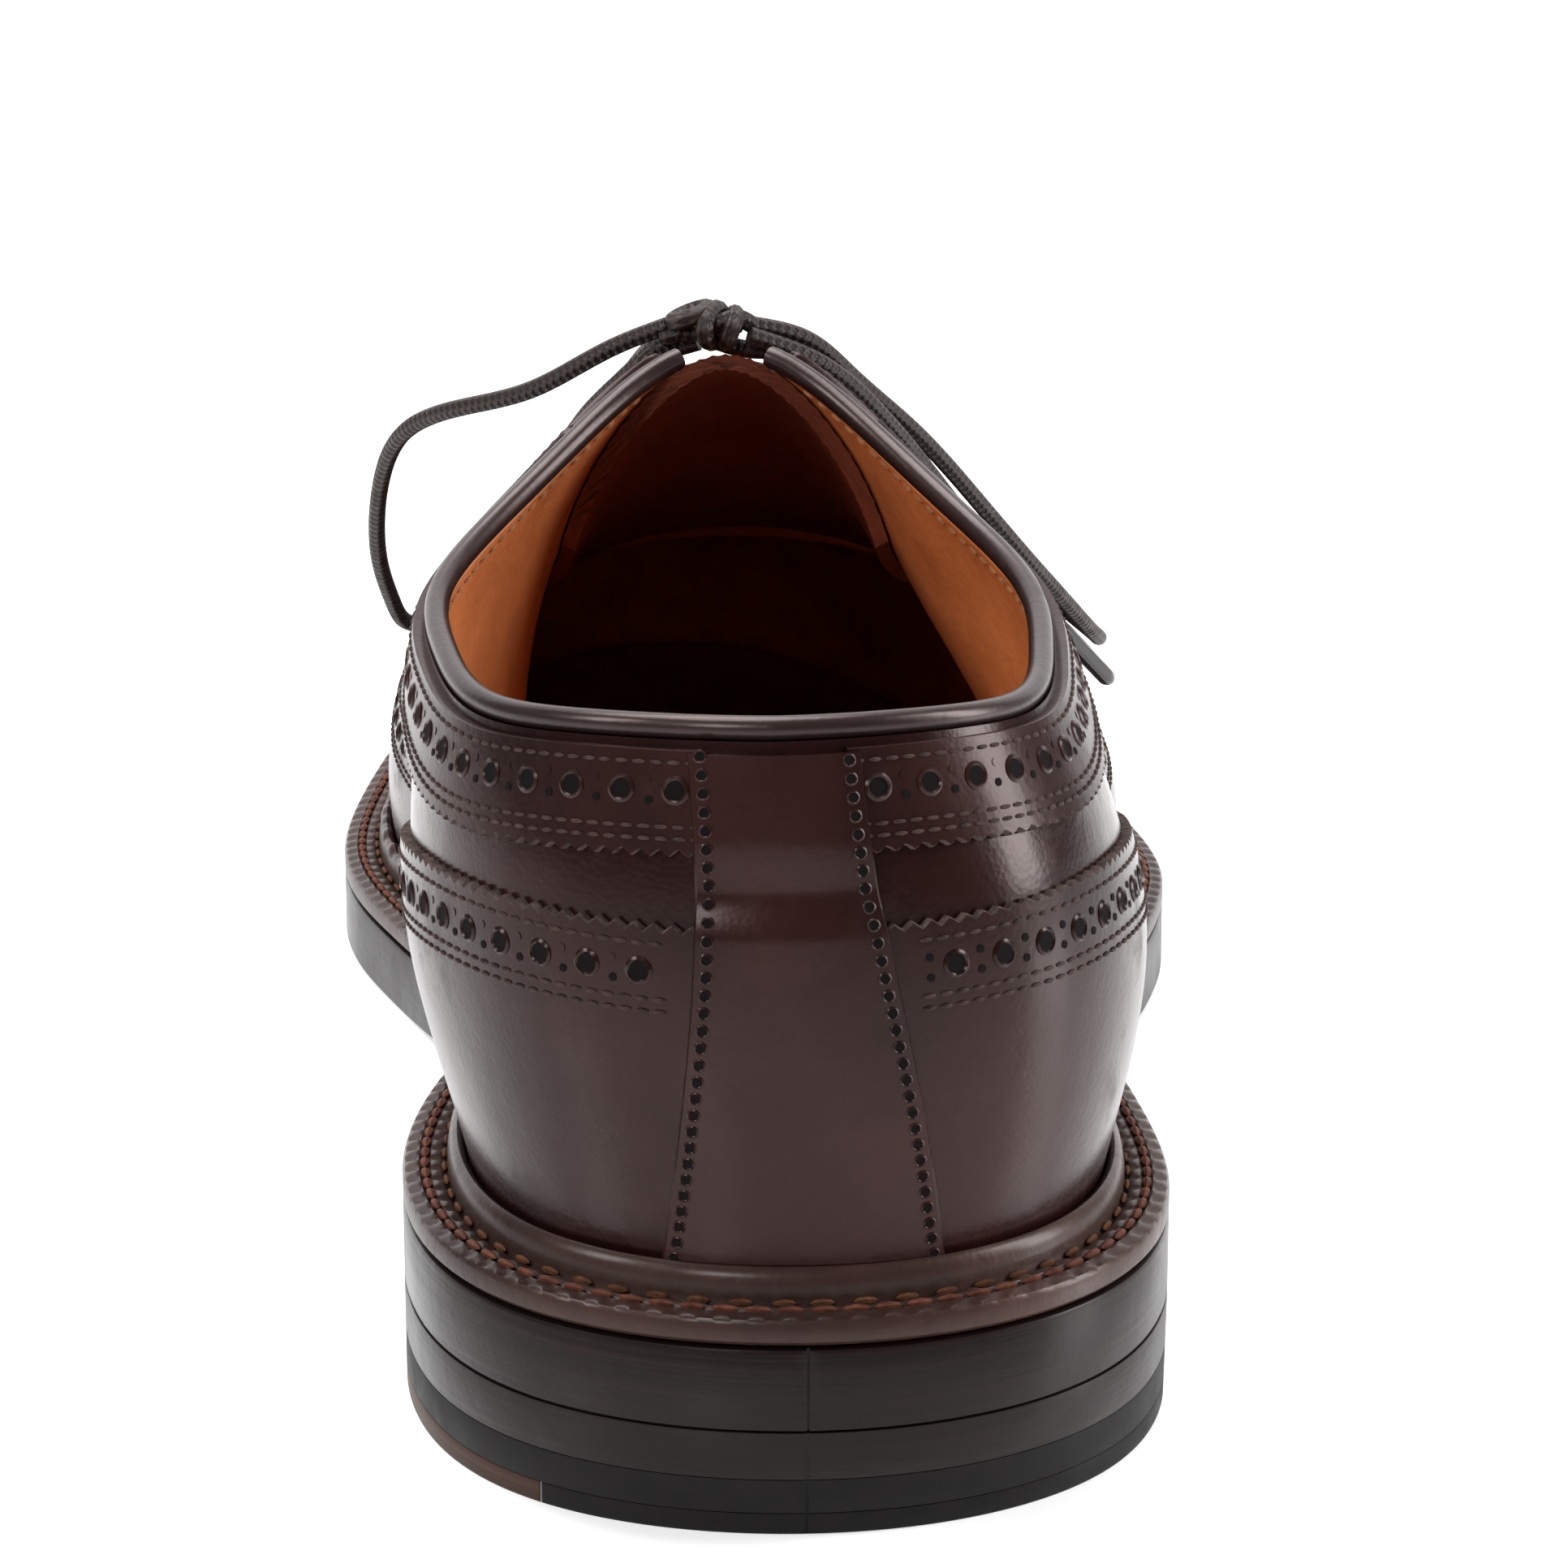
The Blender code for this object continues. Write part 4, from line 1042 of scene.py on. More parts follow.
@dataclass
class Upper:
    """Quarters and vamp, their lining, and the long wing with its pinked and brogued edge."""

    shop: Workshop
    columns: int = 620
    rows: int = 64
    wing_rows: int = 40
    wing_peak: float = 0.75
    pink_depth: float = 0.0008
    eased: float = 0.0002
    rim_width: float = 0.0015
    first_stitch: float = 0.0021
    brogue_line: float = 0.0050
    second_stitch: float = 0.0079
    third_stitch: float = 0.0092
    lining_stitch: float = 0.0045

    def wall_top(self, s: np.ndarray) -> np.ndarray:
        """Share where the wall ends, for stations of either side."""
        last = self.shop.last
        top = last.top(s)
        return np.where(top >= 1, 1.0, last.below(s, top, last.edge_drop(s)))

    def build(self) -> None:
        """Build and dress the pieces."""
        last, maker, finish = self.shop.last, self.shop.maker, self.shop.finish
        s = np.linspace(0, 2, self.columns + 1)
        top = self.wall_top(s)
        share = np.concatenate([np.linspace(0, 1, self.rows + 1), [1.0]])
        lift = np.concatenate([np.zeros(self.rows + 1), [-last.wall / 2]])
        lift = np.where(top[:, None] >= 1, 0.0, lift)
        quarters = maker.panel("quarters_and_vamp", s[:, None] + 0 * lift, top[:, None] * share, lift)
        maker.settle(quarters, [finish.upper], Slot.UPPER, "upper")
        share = np.concatenate([[1.0, 1.0, 0.995], np.linspace(0.97, 0.02, self.rows)])
        lift = np.concatenate([[-last.wall / 2, -last.wall * 0.8], np.full(self.rows + 1, -last.wall)])
        lift = np.where(top[:, None] >= 1, -last.wall, lift)
        lining = maker.panel("quarter_lining", s[:, None] + 0 * lift, top[:, None] * share, lift)
        maker.settle(lining, [finish.lining], Slot.INSOLE, "upper")
        self.long_wing()
        self.wing_work()
        self.lining_stitches()

    def wing_line(self, base: np.ndarray, below: np.ndarray | float) -> Route:
        """Line on the wing at a distance below its edge.

        Args:
            base: Stations of the featherline, 0 to 2.
            below: Distance from the edge.

        Returns:
            The route.
        """
        last = self.shop.last
        folded = np.minimum(base, 2 - base)
        row = last.wings.at(folded)
        share = np.where(folded >= self.wing_peak, 1.0, np.minimum(row[:, 1], 1.0))
        station = np.clip(row[:, 0], 0, 1)
        edge = np.where(base <= 1, station, 2 - station)
        t = last.below(edge, share, below)
        return Route(base + (edge - base) * t / share, t)

    def long_wing(self) -> None:
        """The overlay from the toe to the back seam, one leather thick."""
        last, maker = self.shop.last, self.shop.maker
        base = np.linspace(0, 1, 1201)
        edge = self.wing_line(base, 0.0)
        run = lengths(last.at(edge.s, edge.t))
        count = 4 * round(run[-1] / PINK_PITCH)
        base = np.interp(np.linspace(0, run[-1], count + 1), run, base)
        base = np.concatenate([base, 2 - base[-2::-1]])
        count *= 2
        folded = np.minimum(base, 2 - base)
        edge = self.wing_line(base, 0.0)
        run = lengths(last.at(edge.s, edge.t))
        pinked = folded < self.wing_peak
        cut = np.where(pinked, pinking(run, self.pink_depth), 0.0)
        rim = self.wing_line(base, cut)
        lines = [rim, rim, self.wing_line(base, cut + self.eased), self.wing_line(base, self.rim_width)]
        lifts = [np.where(pinked, 0.0, last.overlay), np.where(pinked, last.overlay * 0.75, last.overlay)]
        s, t = [line.s for line in lines], [line.t for line in lines]
        for part in np.linspace(1, 0, self.wing_rows + 1)[1:]:
            t.append(lines[3].t * part)
            s.append(base + (lines[3].s - base) * part)
        lifts += [np.full(count + 1, last.overlay)] * (len(s) - 2)
        points = last.at(np.stack(s, axis=1), np.stack(t, axis=1), np.stack(lifts, axis=1))
        wing = maker.loft("long_wing", points)
        # The faces of the pinked cut edge take the raw edge finish, lightened as a painted highlight.
        show_cut_edge(wing, points.shape[0] - 1, (0, 1))
        weld(wing)
        maker.settle(wing, [self.shop.finish.wing, self.shop.finish.cut_edge_and_highlight], Slot.OVERLAY, "upper")

    def wing_work(self) -> None:
        """Stitch rows and broguing along both sides of the wing."""
        shop, lift = self.shop, self.shop.last.overlay + STAND
        seams, holes = bmesh.new(), bmesh.new()
        for start, end in ((0.055, 0.7485), (1.2515, 1.945)):
            base = np.linspace(start, end, 500)
            for distance in (self.first_stitch, self.second_stitch, self.third_stitch):
                shop.row(seams, self.wing_line(base, distance), lift, STITCH_PITCH, STITCH)
            shop.broguing(holes, lambda offset: self.wing_line(base, self.brogue_line + offset), lift)
        finish = shop.finish
        shop.maker.settle(shop.maker.object("wing_stitches", seams), [finish.thread], Slot.OVERLAY)
        # The hole floors take the painted shade finish.
        shop.maker.settle(shop.maker.object("wing_broguing", holes), [finish.wing, finish.dark], Slot.OVERLAY)

    def lining_stitches(self) -> None:
        """Row of stitches inside, a few millimetres under the topline."""
        shop, last = self.shop, self.shop.last
        folded = np.linspace(0, last.crest_station(last.throat_top) - 0.01, 120)
        seams = bmesh.new()
        for s in (folded, 2 - folded):
            route = Route(s, last.below(s, last.top(s), self.lining_stitch))
            shop.row(seams, route, -last.wall - 0.0001, 0.0024, (0.0006, 0.0005, 0.0017))
        piece = shop.maker.object("lining_stitches", seams)
        shop.maker.settle(piece, [shop.finish.lining_thread], Slot.INSOLE)


@dataclass
class Collar:
    """Collar bands that widen into the eyelet facings, the back strip and the topline's binding."""

    shop: Workshop
    band: float = 0.0110
    facing: float = 0.021
    band_end: float = 0.28
    facing_start: float = 0.40
    clearance: float = 0.0009
    tuck: float = 0.002
    strip_top: float = 0.0175
    strip_bottom: float = 0.030
    strip_start: float = 0.06
    strip_narrow_from: float = 0.62
    strip_seam: float = 0.0014
    strip_hole: float = 0.00055
    strip_height: float = 0.0009
    over_wing: tuple = (0.465, 0.05)
    over_band: tuple = (0.50, 0.06)
    low_stitches: tuple = (0.0019, 0.0031)
    top_stitch: float = 0.0014
    brogue_line: float = 0.0068
    brogue_shift: float = 0.0016
    binding_radius: float = 0.0013
    pink_depth: float = 0.0008
    rows: int = 16

    def build(self) -> None:
        """Build and dress the pieces."""
        seams, holes = bmesh.new(), bmesh.new()
        for side in Side:
            self.facing_panel(side)
            self.facing_work(side, seams, holes)
        self.back_strip(holes)
        self.binding()
        finish, maker = self.shop.finish, self.shop.maker
        maker.settle(maker.object("collar_stitches", seams), [finish.thread], Slot.OVERLAY)
        # The hole floors, back strip holes included, take the painted shade finish.
        maker.settle(maker.object("collar_broguing", holes), [finish.overlay, finish.dark], Slot.OVERLAY)

    def strip_edge(self, t: np.ndarray) -> np.ndarray:
        """Half width of the back strip at each share, in stations."""
        narrowed = (self.strip_top - self.strip_bottom) * smooth(t / self.strip_narrow_from)
        half = (self.strip_bottom + narrowed) / 2
        last = self.shop.last
        step = np.full(np.shape(t), last.slope_step)
        ahead = last.read(last.points, step, t) - last.read(last.points, 0 * step, t)
        return half / np.linalg.norm(ahead, axis=-1) * last.slope_step

    def stations(self) -> np.ndarray:
        """Stations of the facing, from the back seam to the foot of the throat."""
        last = self.shop.last
        return np.linspace(0, last.crest_station(last.throat_end - self.clearance), 700)

    def widening(self, folded: np.ndarray) -> np.ndarray:
        """How far the band has widened into the facing at each station, 0 to 1."""
        return smooth((folded - self.band_end) / (self.facing_start - self.band_end))

    def line(self, side: Side, folded: np.ndarray, top: float = 0.0, low: float | None = None,
             extra: np.ndarray | float = 0.0) -> Route:
        """Line along the facing.

        Args:
            side: Side of the shoe.
            folded: Stations from the back seam.
            top: Distance below the facing's upper edge.
            low: Distance above its lower edge instead, if given.
            extra: Further distance down, one for each station.

        Returns:
            The route, which ends under the back strip.
        """
        last = self.shop.last
        s = folded if side is Side.MEDIAL else 2 - folded
        start = last.below(s, last.top(s), last.edge_drop(s) + self.clearance)
        width = self.band + (self.facing - self.band) * self.widening(folded)
        t = last.below(s, start, (top if low is None else width - low) + extra)
        edge = self.strip_edge(t) - self.tuck / last.sole_length
        return Route(np.clip(s, edge, 2 - edge), t)

    def facing_panel(self, side: Side) -> None:
        """The panel of one side, with a pinked lower edge."""
        last, maker = self.shop.last, self.shop.maker
        low = self.line(side, self.stations(), low=0.0)
        run = lengths(last.at(low.s, low.t))
        count = 4 * round(run[-1] / PINK_PITCH)
        folded = np.interp(np.linspace(0, run[-1], count + 1), run, self.stations())
        low = self.line(side, folded, low=0.0)
        cut = pinking(lengths(last.at(low.s, low.t)), self.pink_depth)
        foot, head = self.line(side, folded, low=0.0, extra=-cut), self.line(side, folded)
        share = np.concatenate([[0, 0, 0.012], np.linspace(0.08, 0.985, self.rows), [1.0, 1.0]])
        t = foot.t[:, None] * (1 - share) + head.t[:, None] * share
        s = foot.s[:, None] * (1 - share) + head.s[:, None] * share
        lift = np.concatenate([[0, 0.75], np.ones(self.rows + 1), [0.75, 0.0]]) * last.overlay
        lift = np.broadcast_to(lift, t.shape).copy()
        s, t = np.concatenate([s, s[-1:]]), np.concatenate([t, t[-1:]])
        lift = np.concatenate([lift, lift[-1:] * 0])
        piece = maker.loft("facing_panel_" + side.name.lower(), last.at(s, t, lift), flip=side is Side.MEDIAL)
        # The faces of the pinked lower edge take the raw edge finish, lightened as a painted highlight.
        show_cut_edge(piece, s.shape[0] - 1, (0, 1))
        finish = self.shop.finish
        maker.settle(piece, [finish.overlay, finish.cut_edge_and_highlight], Slot.OVERLAY, "facing_" + side.name.lower())

    def facing_work(self, side: Side, seams: bmesh.types.BMesh, holes: bmesh.types.BMesh) -> None:
        """Stitches and holes of one side's facing."""
        lift = self.shop.last.overlay + STAND
        folded = self.stations()[30:-6]
        for distance in self.low_stitches:
            self.shop.row(seams, self.line(side, folded, low=distance), lift, STITCH_PITCH, STITCH)
        self.shop.row(seams, self.line(side, folded, top=self.top_stitch), lift, STITCH_PITCH, STITCH)
        shift = self.brogue_shift * self.widening(folded)
        self.shop.broguing(holes, lambda offset: self.line(
            side, folded, low=self.brogue_line, extra=offset + shift), lift)

    def strip_lift(self, t: np.ndarray) -> np.ndarray:
        """Height of the back strip's outer face over the last."""
        overlay = self.shop.last.overlay
        wing, band = (smooth((t - start) / fade) for start, fade in (self.over_wing, self.over_band))
        return self.strip_height + overlay * (1 - wing) + overlay * 0.6 * band

    def back_strip(self, holes: bmesh.types.BMesh) -> None:
        """Strip over the back seam, with a row of small holes inside each edge."""
        last, maker = self.shop.last, self.shop.maker
        seam = np.zeros(1)
        top = last.below(seam, last.top(seam), last.edge_drop(seam) + self.clearance)[0]
        t = np.linspace(self.strip_start, top, 150)
        across = np.concatenate([[-1, -1, -0.975], np.linspace(-0.9, 0.9, 17), [0.975, 1, 1]])
        lift = np.concatenate([[0, 0.8], np.ones(19), [0.8, 0]])
        t, across = np.meshgrid(t, across, indexing="ij")
        height = self.strip_lift(t) * lift
        height[-1] = 0
        t[-1] = t[-2]
        piece = maker.loft("back_seam_strip", last.at(across * self.strip_edge(t), t, height))
        maker.settle(piece, [self.shop.finish.overlay], Slot.OVERLAY, "back_strip")
        t = np.linspace(self.strip_start + 0.02, top - 0.004, 200)
        edge = self.strip_edge(t)
        half = np.linalg.norm(last.read(last.points, edge, t) - last.read(last.points, 0 * t, t), axis=-1)
        for side in Side:
            s = side.value * edge * (1 - self.strip_seam / half)
            line = last.at(s, t, self.strip_lift(t) + 0.00004)
            frames = maker.frames(line, last.facing(s, t), STITCH_PITCH)
            maker.punch(holes, frames, self.strip_hole, PUNCH_LIP / 2)

    def binding(self) -> None:
        """Bead of folded leather along the topline, and its ends beside the throat."""
        last, maker = self.shop.last, self.shop.maker
        corner = last.crest_station(last.throat_top - 2 * self.binding_radius)
        s = np.linspace(-corner, corner, 500)
        folded = np.where(s < 0, 2 + s, s)
        t = last.below(folded, last.top(folded), self.binding_radius)
        line = last.at(folded, t, -last.wall / 2)
        piece = maker.loft("rolled_topline", tube_skin(line, self.binding_radius * 1.04, 14), closed=True)
        maker.settle(piece, [self.shop.finish.binding], Slot.BINDING, "topline_binding")


def tube_skin(line: np.ndarray, radius: np.ndarray | float, around: int, waist: float = 1.0) -> np.ndarray:
    """Grid of points of a tube round a line.

    Args:
        line: Points of the centreline.
        radius: Radius, one for all or one for each point.
        around: Points round the tube.
        waist: Height of the section as a share of its width.

    Returns:
        Grid, along by around, the last column on the first.
    """
    forward = unit(np.gradient(line, axis=0))
    side = np.empty_like(line)
    start = np.array([0.0, 0.0, 1.0]) if abs(forward[0, 2]) < 0.9 else np.array([0.0, 1.0, 0.0])
    side[0] = unit(np.cross(forward[0], start))
    for i in range(1, len(line)):
        side[i] = unit(side[i - 1] - forward[i] * np.dot(side[i - 1], forward[i]))
    other = np.cross(forward, side)
    turn = np.linspace(0, 2 * math.pi, around + 1)
    radius = np.broadcast_to(radius, len(line))[:, None, None]
    ring = side[:, None] * np.cos(turn)[:, None] + other[:, None] * np.sin(turn)[:, None] * waist
    return line[:, None] + ring * radius


def smooth_line(points: Sequence, spacing: float) -> np.ndarray:
    """Points of a smooth curve through a route, about spacing apart."""
    points = np.asarray(points, float)
    run = lengths(points)
    count = max(2, round(run[-1] / spacing))
    return Spline(run, points).at(np.linspace(0, run[-1], count + 1))


@dataclass
class Inside:
    """Tongue behind the throat and the leather sock on the insole."""

    shop: Workshop
    thickness: float = 0.0018
    slack: float = 0.0003
    half_width: float = 0.034
    corner: float = 0.016
    top: float = 0.1045
    bottom: float = 0.190
    scallop: float = 0.0022
    scallop_depth: float = 0.0009
    sock: float = 0.003

    def build(self) -> None:
        """Build and dress the pieces."""
        last, maker, finish = self.shop.last, self.shop.maker, self.shop.finish
        y = np.linspace(self.top, self.bottom, 56)
        across = np.linspace(-1, 1, 233)
        bite = self.scallop_depth * np.abs(np.sin(math.pi * across * self.half_width / self.scallop))
        rounded = self.corner * (1 - np.sqrt(1 - 0.96 * across ** 2))
        fade = 1 - (y[:, None] - self.top) / (self.bottom - self.top)
        line = y[:, None] + (rounded + bite * fade ** 8) * fade
        station = np.interp(line, last.spines.at(last.s)[:, 0] * last.sole_length, last.s)
        s = station[:, len(across) // 2]
        half = 1 - last.below(s, 1.0, self.half_width)
        t = 1 + half[:, None] * across
        outer = -(last.wall + self.slack)
        skin = [last.at(station, t, outer), last.at(station, t, outer - self.thickness)[:, ::-1]]
        grid = np.concatenate([*skin, skin[0][:, :1]], axis=1)
        piece = maker.loft("scalloped_tongue", grid, closed=True)
        maker.settle(piece, [finish.tongue], Slot.TONGUE, "tongue")
        inset = last.feather + last.wall + 2 * last.gap
        base = last.welt_top + last.gap
        piece = SoleStack(self.shop).slab(
            "leather_sock", (0.015, 0.985), lambda y: last.tread(y) + base,
            lambda y: last.tread(y) + base + self.sock, 0.0004, inset)
        maker.settle(piece, [finish.sock], Slot.INSOLE, "insole")


@dataclass
class Welt:
    """Storm welt round the whole shoe: stitched margin, inseam and a rolled bead against the upper.

    A row of the profile is the inset, the height and what changes it on the way round: 0 nothing,
    1 the notches of the stitches, 2 the bead's waver.
    """

    shop: Workshop
    pitch: float = 0.0034
    inseam_pitch: float = 0.0045
    steps: int = 6
    lock_inset: float = 0.0025
    lock_rise: float = 0.0031
    lock_size: Size = (0.00115, 0.0009, 0.0030)
    inseam_inset: float = 0.0047
    inseam_rise: float = 0.0030
    inseam_size: Size = (0.0008, 0.0009, 0.0026)
    notch_depth: float = 0.00042
    waver: float = 0.00028
    profile: tuple = (
        (0.0105, 0.0000, 0), (0.0005, 0.0000, 0), (0.0000, 0.0005, 0), (0.0000, 0.0023, 0),
        (0.0003, 0.0028, 0), (0.0008, 0.0031, 1), (0.0014, 0.0032, 1), (0.0018, 0.0031, 0),
        (0.0021, 0.0028, 0), (0.0025, 0.0026, 0), (0.0029, 0.0028, 0), (0.0032, 0.0031, 0),
        (0.0036, 0.0032, 1), (0.0041, 0.0031, 1), (0.0045, 0.0027, 0), (0.0048, 0.0023, 0),
        (0.0050, 0.0026, 0), (0.0050, 0.0042, 0), (0.0052, 0.0054, 2), (0.0056, 0.0062, 2),
        (0.0061, 0.0065, 2), (0.0066, 0.0063, 2), (0.0070, 0.0056, 2), (0.0073, 0.0042, 0),
        (0.0075, 0.0030, 0), (0.0105, 0.0030, 0), (0.0105, 0.0000, 0),
    )

    def ring(self, place: np.ndarray, inset: float, rise: np.ndarray | float) -> np.ndarray:
        """Points round the welt at an inset and a height above the outsole."""
        last = self.shop.last
        flat = last.outline(place, inset)
        z = last.tread(flat[:, 1]) + last.outsole + last.gap + rise
        return np.column_stack([flat, z]) + last.shift

    def build(self) -> None:
        """Build and dress the pieces."""
        last, maker, finish = self.shop.last, self.shop.maker, self.shop.finish
        place = np.linspace(0, 2, 3001)
        run = lengths(self.ring(place, self.lock_inset, 0.0))
        count = round(run[-1] / self.pitch)
        place = np.interp(np.linspace(0, run[-1], count * self.steps + 1), run, place)
        turn = np.linspace(0, count, count * self.steps + 1)
        notch = np.abs(np.cos(math.pi * turn)) ** 4
        heel = smooth((last.outline(place)[:, 1] - last.heel_length) / 0.05)
        waves = np.sin(turn * 2.1 + 1.7 * np.sin(turn * 0.37)) + 0.6 * np.sin(turn * 5.3)
        rough = heel * self.waver * waves
        grid = []
        for inset, rise, kind in self.profile:
            change = (0.0, -self.notch_depth * notch, rough)[kind]
            grid.append(self.ring(place, inset, rise + change))
        piece = maker.loft("storm_welt", np.stack(grid, axis=1), closed=True)
        maker.settle(piece, [finish.welt], Slot.WELT, "welt")
        up = np.tile([0.0, 0.0, 1.0], (len(place), 1))
        lock, inseam = bmesh.new(), bmesh.new()
        frames = maker.frames(self.ring(place, self.lock_inset, self.lock_rise), up, run[-1] / count)
        maker.stitch(lock, frames, self.lock_size)
        line = self.ring(place, self.inseam_inset, self.inseam_rise)
        maker.stitch(inseam, maker.frames(line, up, self.inseam_pitch), self.inseam_size)
        maker.settle(maker.object("welt_stitches", lock), [finish.lock_thread], Slot.WELT)
        # The inseam thread's finish carries painted shade of the gap under the bead.
        maker.settle(maker.object("inseam_stitches", inseam), [finish.inseam_thread], Slot.WELT)


@dataclass
class SoleStack:
    """Outsole, heel stack, rubber toplift and its leather corner."""

    shop: Workshop
    stations: int = 180
    heel_rake: float = 0.004
    corner_thickness: float = 0.0027
    corner_width: float = 0.0145
    end: float = 0.0005
    cut: float = 0.00004
    outsole_bevel: float = 0.0006
    lift_bevel: float = 0.00015
    tread_bevel: float = 0.0002

    def slab(self, name: str, ends: tuple[float, float], low: Callable, high: Callable, bevel: float,
             inset: float = 0.0, lean: Callable | None = None) -> bpy.types.Object:
        """Plate under the outline with eased edges.

        Args:
            name: Name of the piece.
            ends: First and last station.
            low: Height of the underside for each Y.
            high: Height of the top for each Y.
            bevel: Size of the eased edge.
            inset: How far in from the sole's outline.
            lean: Moves the points, heel at Y = 0, if given.

        Returns:
            The plate.
        """
        last = self.shop.last
        s = np.linspace(*ends, self.stations + 1)
        section = ((1.0, 0.0), (0.3, 0.3), (0.0, 1.0), (0.0, -1.0), (0.3, -0.3), (1.0, -0.0))
        sides = []
        for mirror in (s, 2 - s):
            rows = []
            for k, (inwards, rise) in enumerate(section):
                flat = last.outline(mirror, inset + inwards * bevel)
                z = (low if k < 3 else high)(flat[:, 1]) + rise * bevel
                rows.append(np.column_stack([flat, z]))
            sides.append(np.stack(rows, axis=1))
        medial, lateral = sides
        share = np.linspace(0, 1, 9)[1:-1, None]
        over = medial[:, -1:] * (1 - share) + lateral[:, -1:] * share
        under = lateral[:, :1] * (1 - share) + medial[:, :1] * share
        grid = np.concatenate([medial, over, lateral[:, ::-1], under, medial[:, :1]], axis=1)
        if lean:
            grid = lean(grid)
        return self.shop.maker.loft(name, grid + last.shift, closed=True)

    def lean(self, grid: np.ndarray) -> np.ndarray:
        """Heel points with the back leaning in towards the ground."""
        last = self.shop.last
        share = (1 - grid[..., 2] / last.seat) * (1 - grid[..., 1] / last.heel_length)
        grid[..., 1] += self.heel_rake * np.maximum(share, 0)
        return grid

    def halve(self, piece: bpy.types.Object, x: float, keep: Side) -> None:
        """Cut a piece at a plane across X and keep one side."""
        bm = bmesh.new()
        bm.from_mesh(piece.data)
        medial = keep is Side.MEDIAL
        bmesh.ops.bisect_plane(
            bm, geom=bm.verts[:] + bm.edges[:] + bm.faces[:], dist=1e-7, plane_co=(x, 0, 0),
            plane_no=(1, 0, 0), clear_outer=medial, clear_inner=not medial)
        bmesh.ops.holes_fill(bm, edges=[edge for edge in bm.edges if edge.is_boundary], sides=0)
        bmesh.ops.recalc_face_normals(bm, faces=bm.faces[:])
        bm.to_mesh(piece.data)
        bm.free()

    def build(self) -> None:
        """Build and dress the pieces."""
        last, maker, finish = self.shop.last, self.shop.maker, self.shop.finish
        piece = self.slab("leather_outsole", (self.end, 1 - self.end), last.tread,
                          lambda y: last.tread(y) + last.outsole, self.outsole_bevel)
        maker.settle(piece, [finish.sole], Slot.SOLE, "outsole")
        breast = (self.end, math.acos(1 - 2 * last.heel_length / last.sole_length) / math.pi)

        def flat(height: float) -> Callable:
            return lambda y: np.full(np.shape(y), height)

        for name, low, high, material, slot, node in (
                ("heel_lifts", last.toplift, last.seat, finish.heel, Slot.HEEL, "heel_stack"),
                ("toplift_upper", self.corner_thickness, last.toplift, finish.rubber, Slot.TOPLIFT,
                 "heel_toplift")):
            piece = self.slab(name, breast, flat(low), flat(high), self.lift_bevel, lean=self.lean)
            maker.settle(piece, [material], slot, node)
        cut = -last.heel_width / 2 + self.corner_width + last.shift[0]
        for name, side, material, slot, node in (
                ("toplift_tread", Side.LATERAL, finish.rubber, Slot.TOPLIFT, "heel_toplift"),
                ("toplift_leather_corner", Side.MEDIAL, finish.corner, Slot.CORNER, "toplift_corner")):
            piece = self.slab(name, breast, flat(0.0), flat(self.corner_thickness), self.tread_bevel,
                              lean=self.lean)
            self.halve(piece, cut + side.value * self.cut, side)
            maker.settle(piece, [material], slot, node)


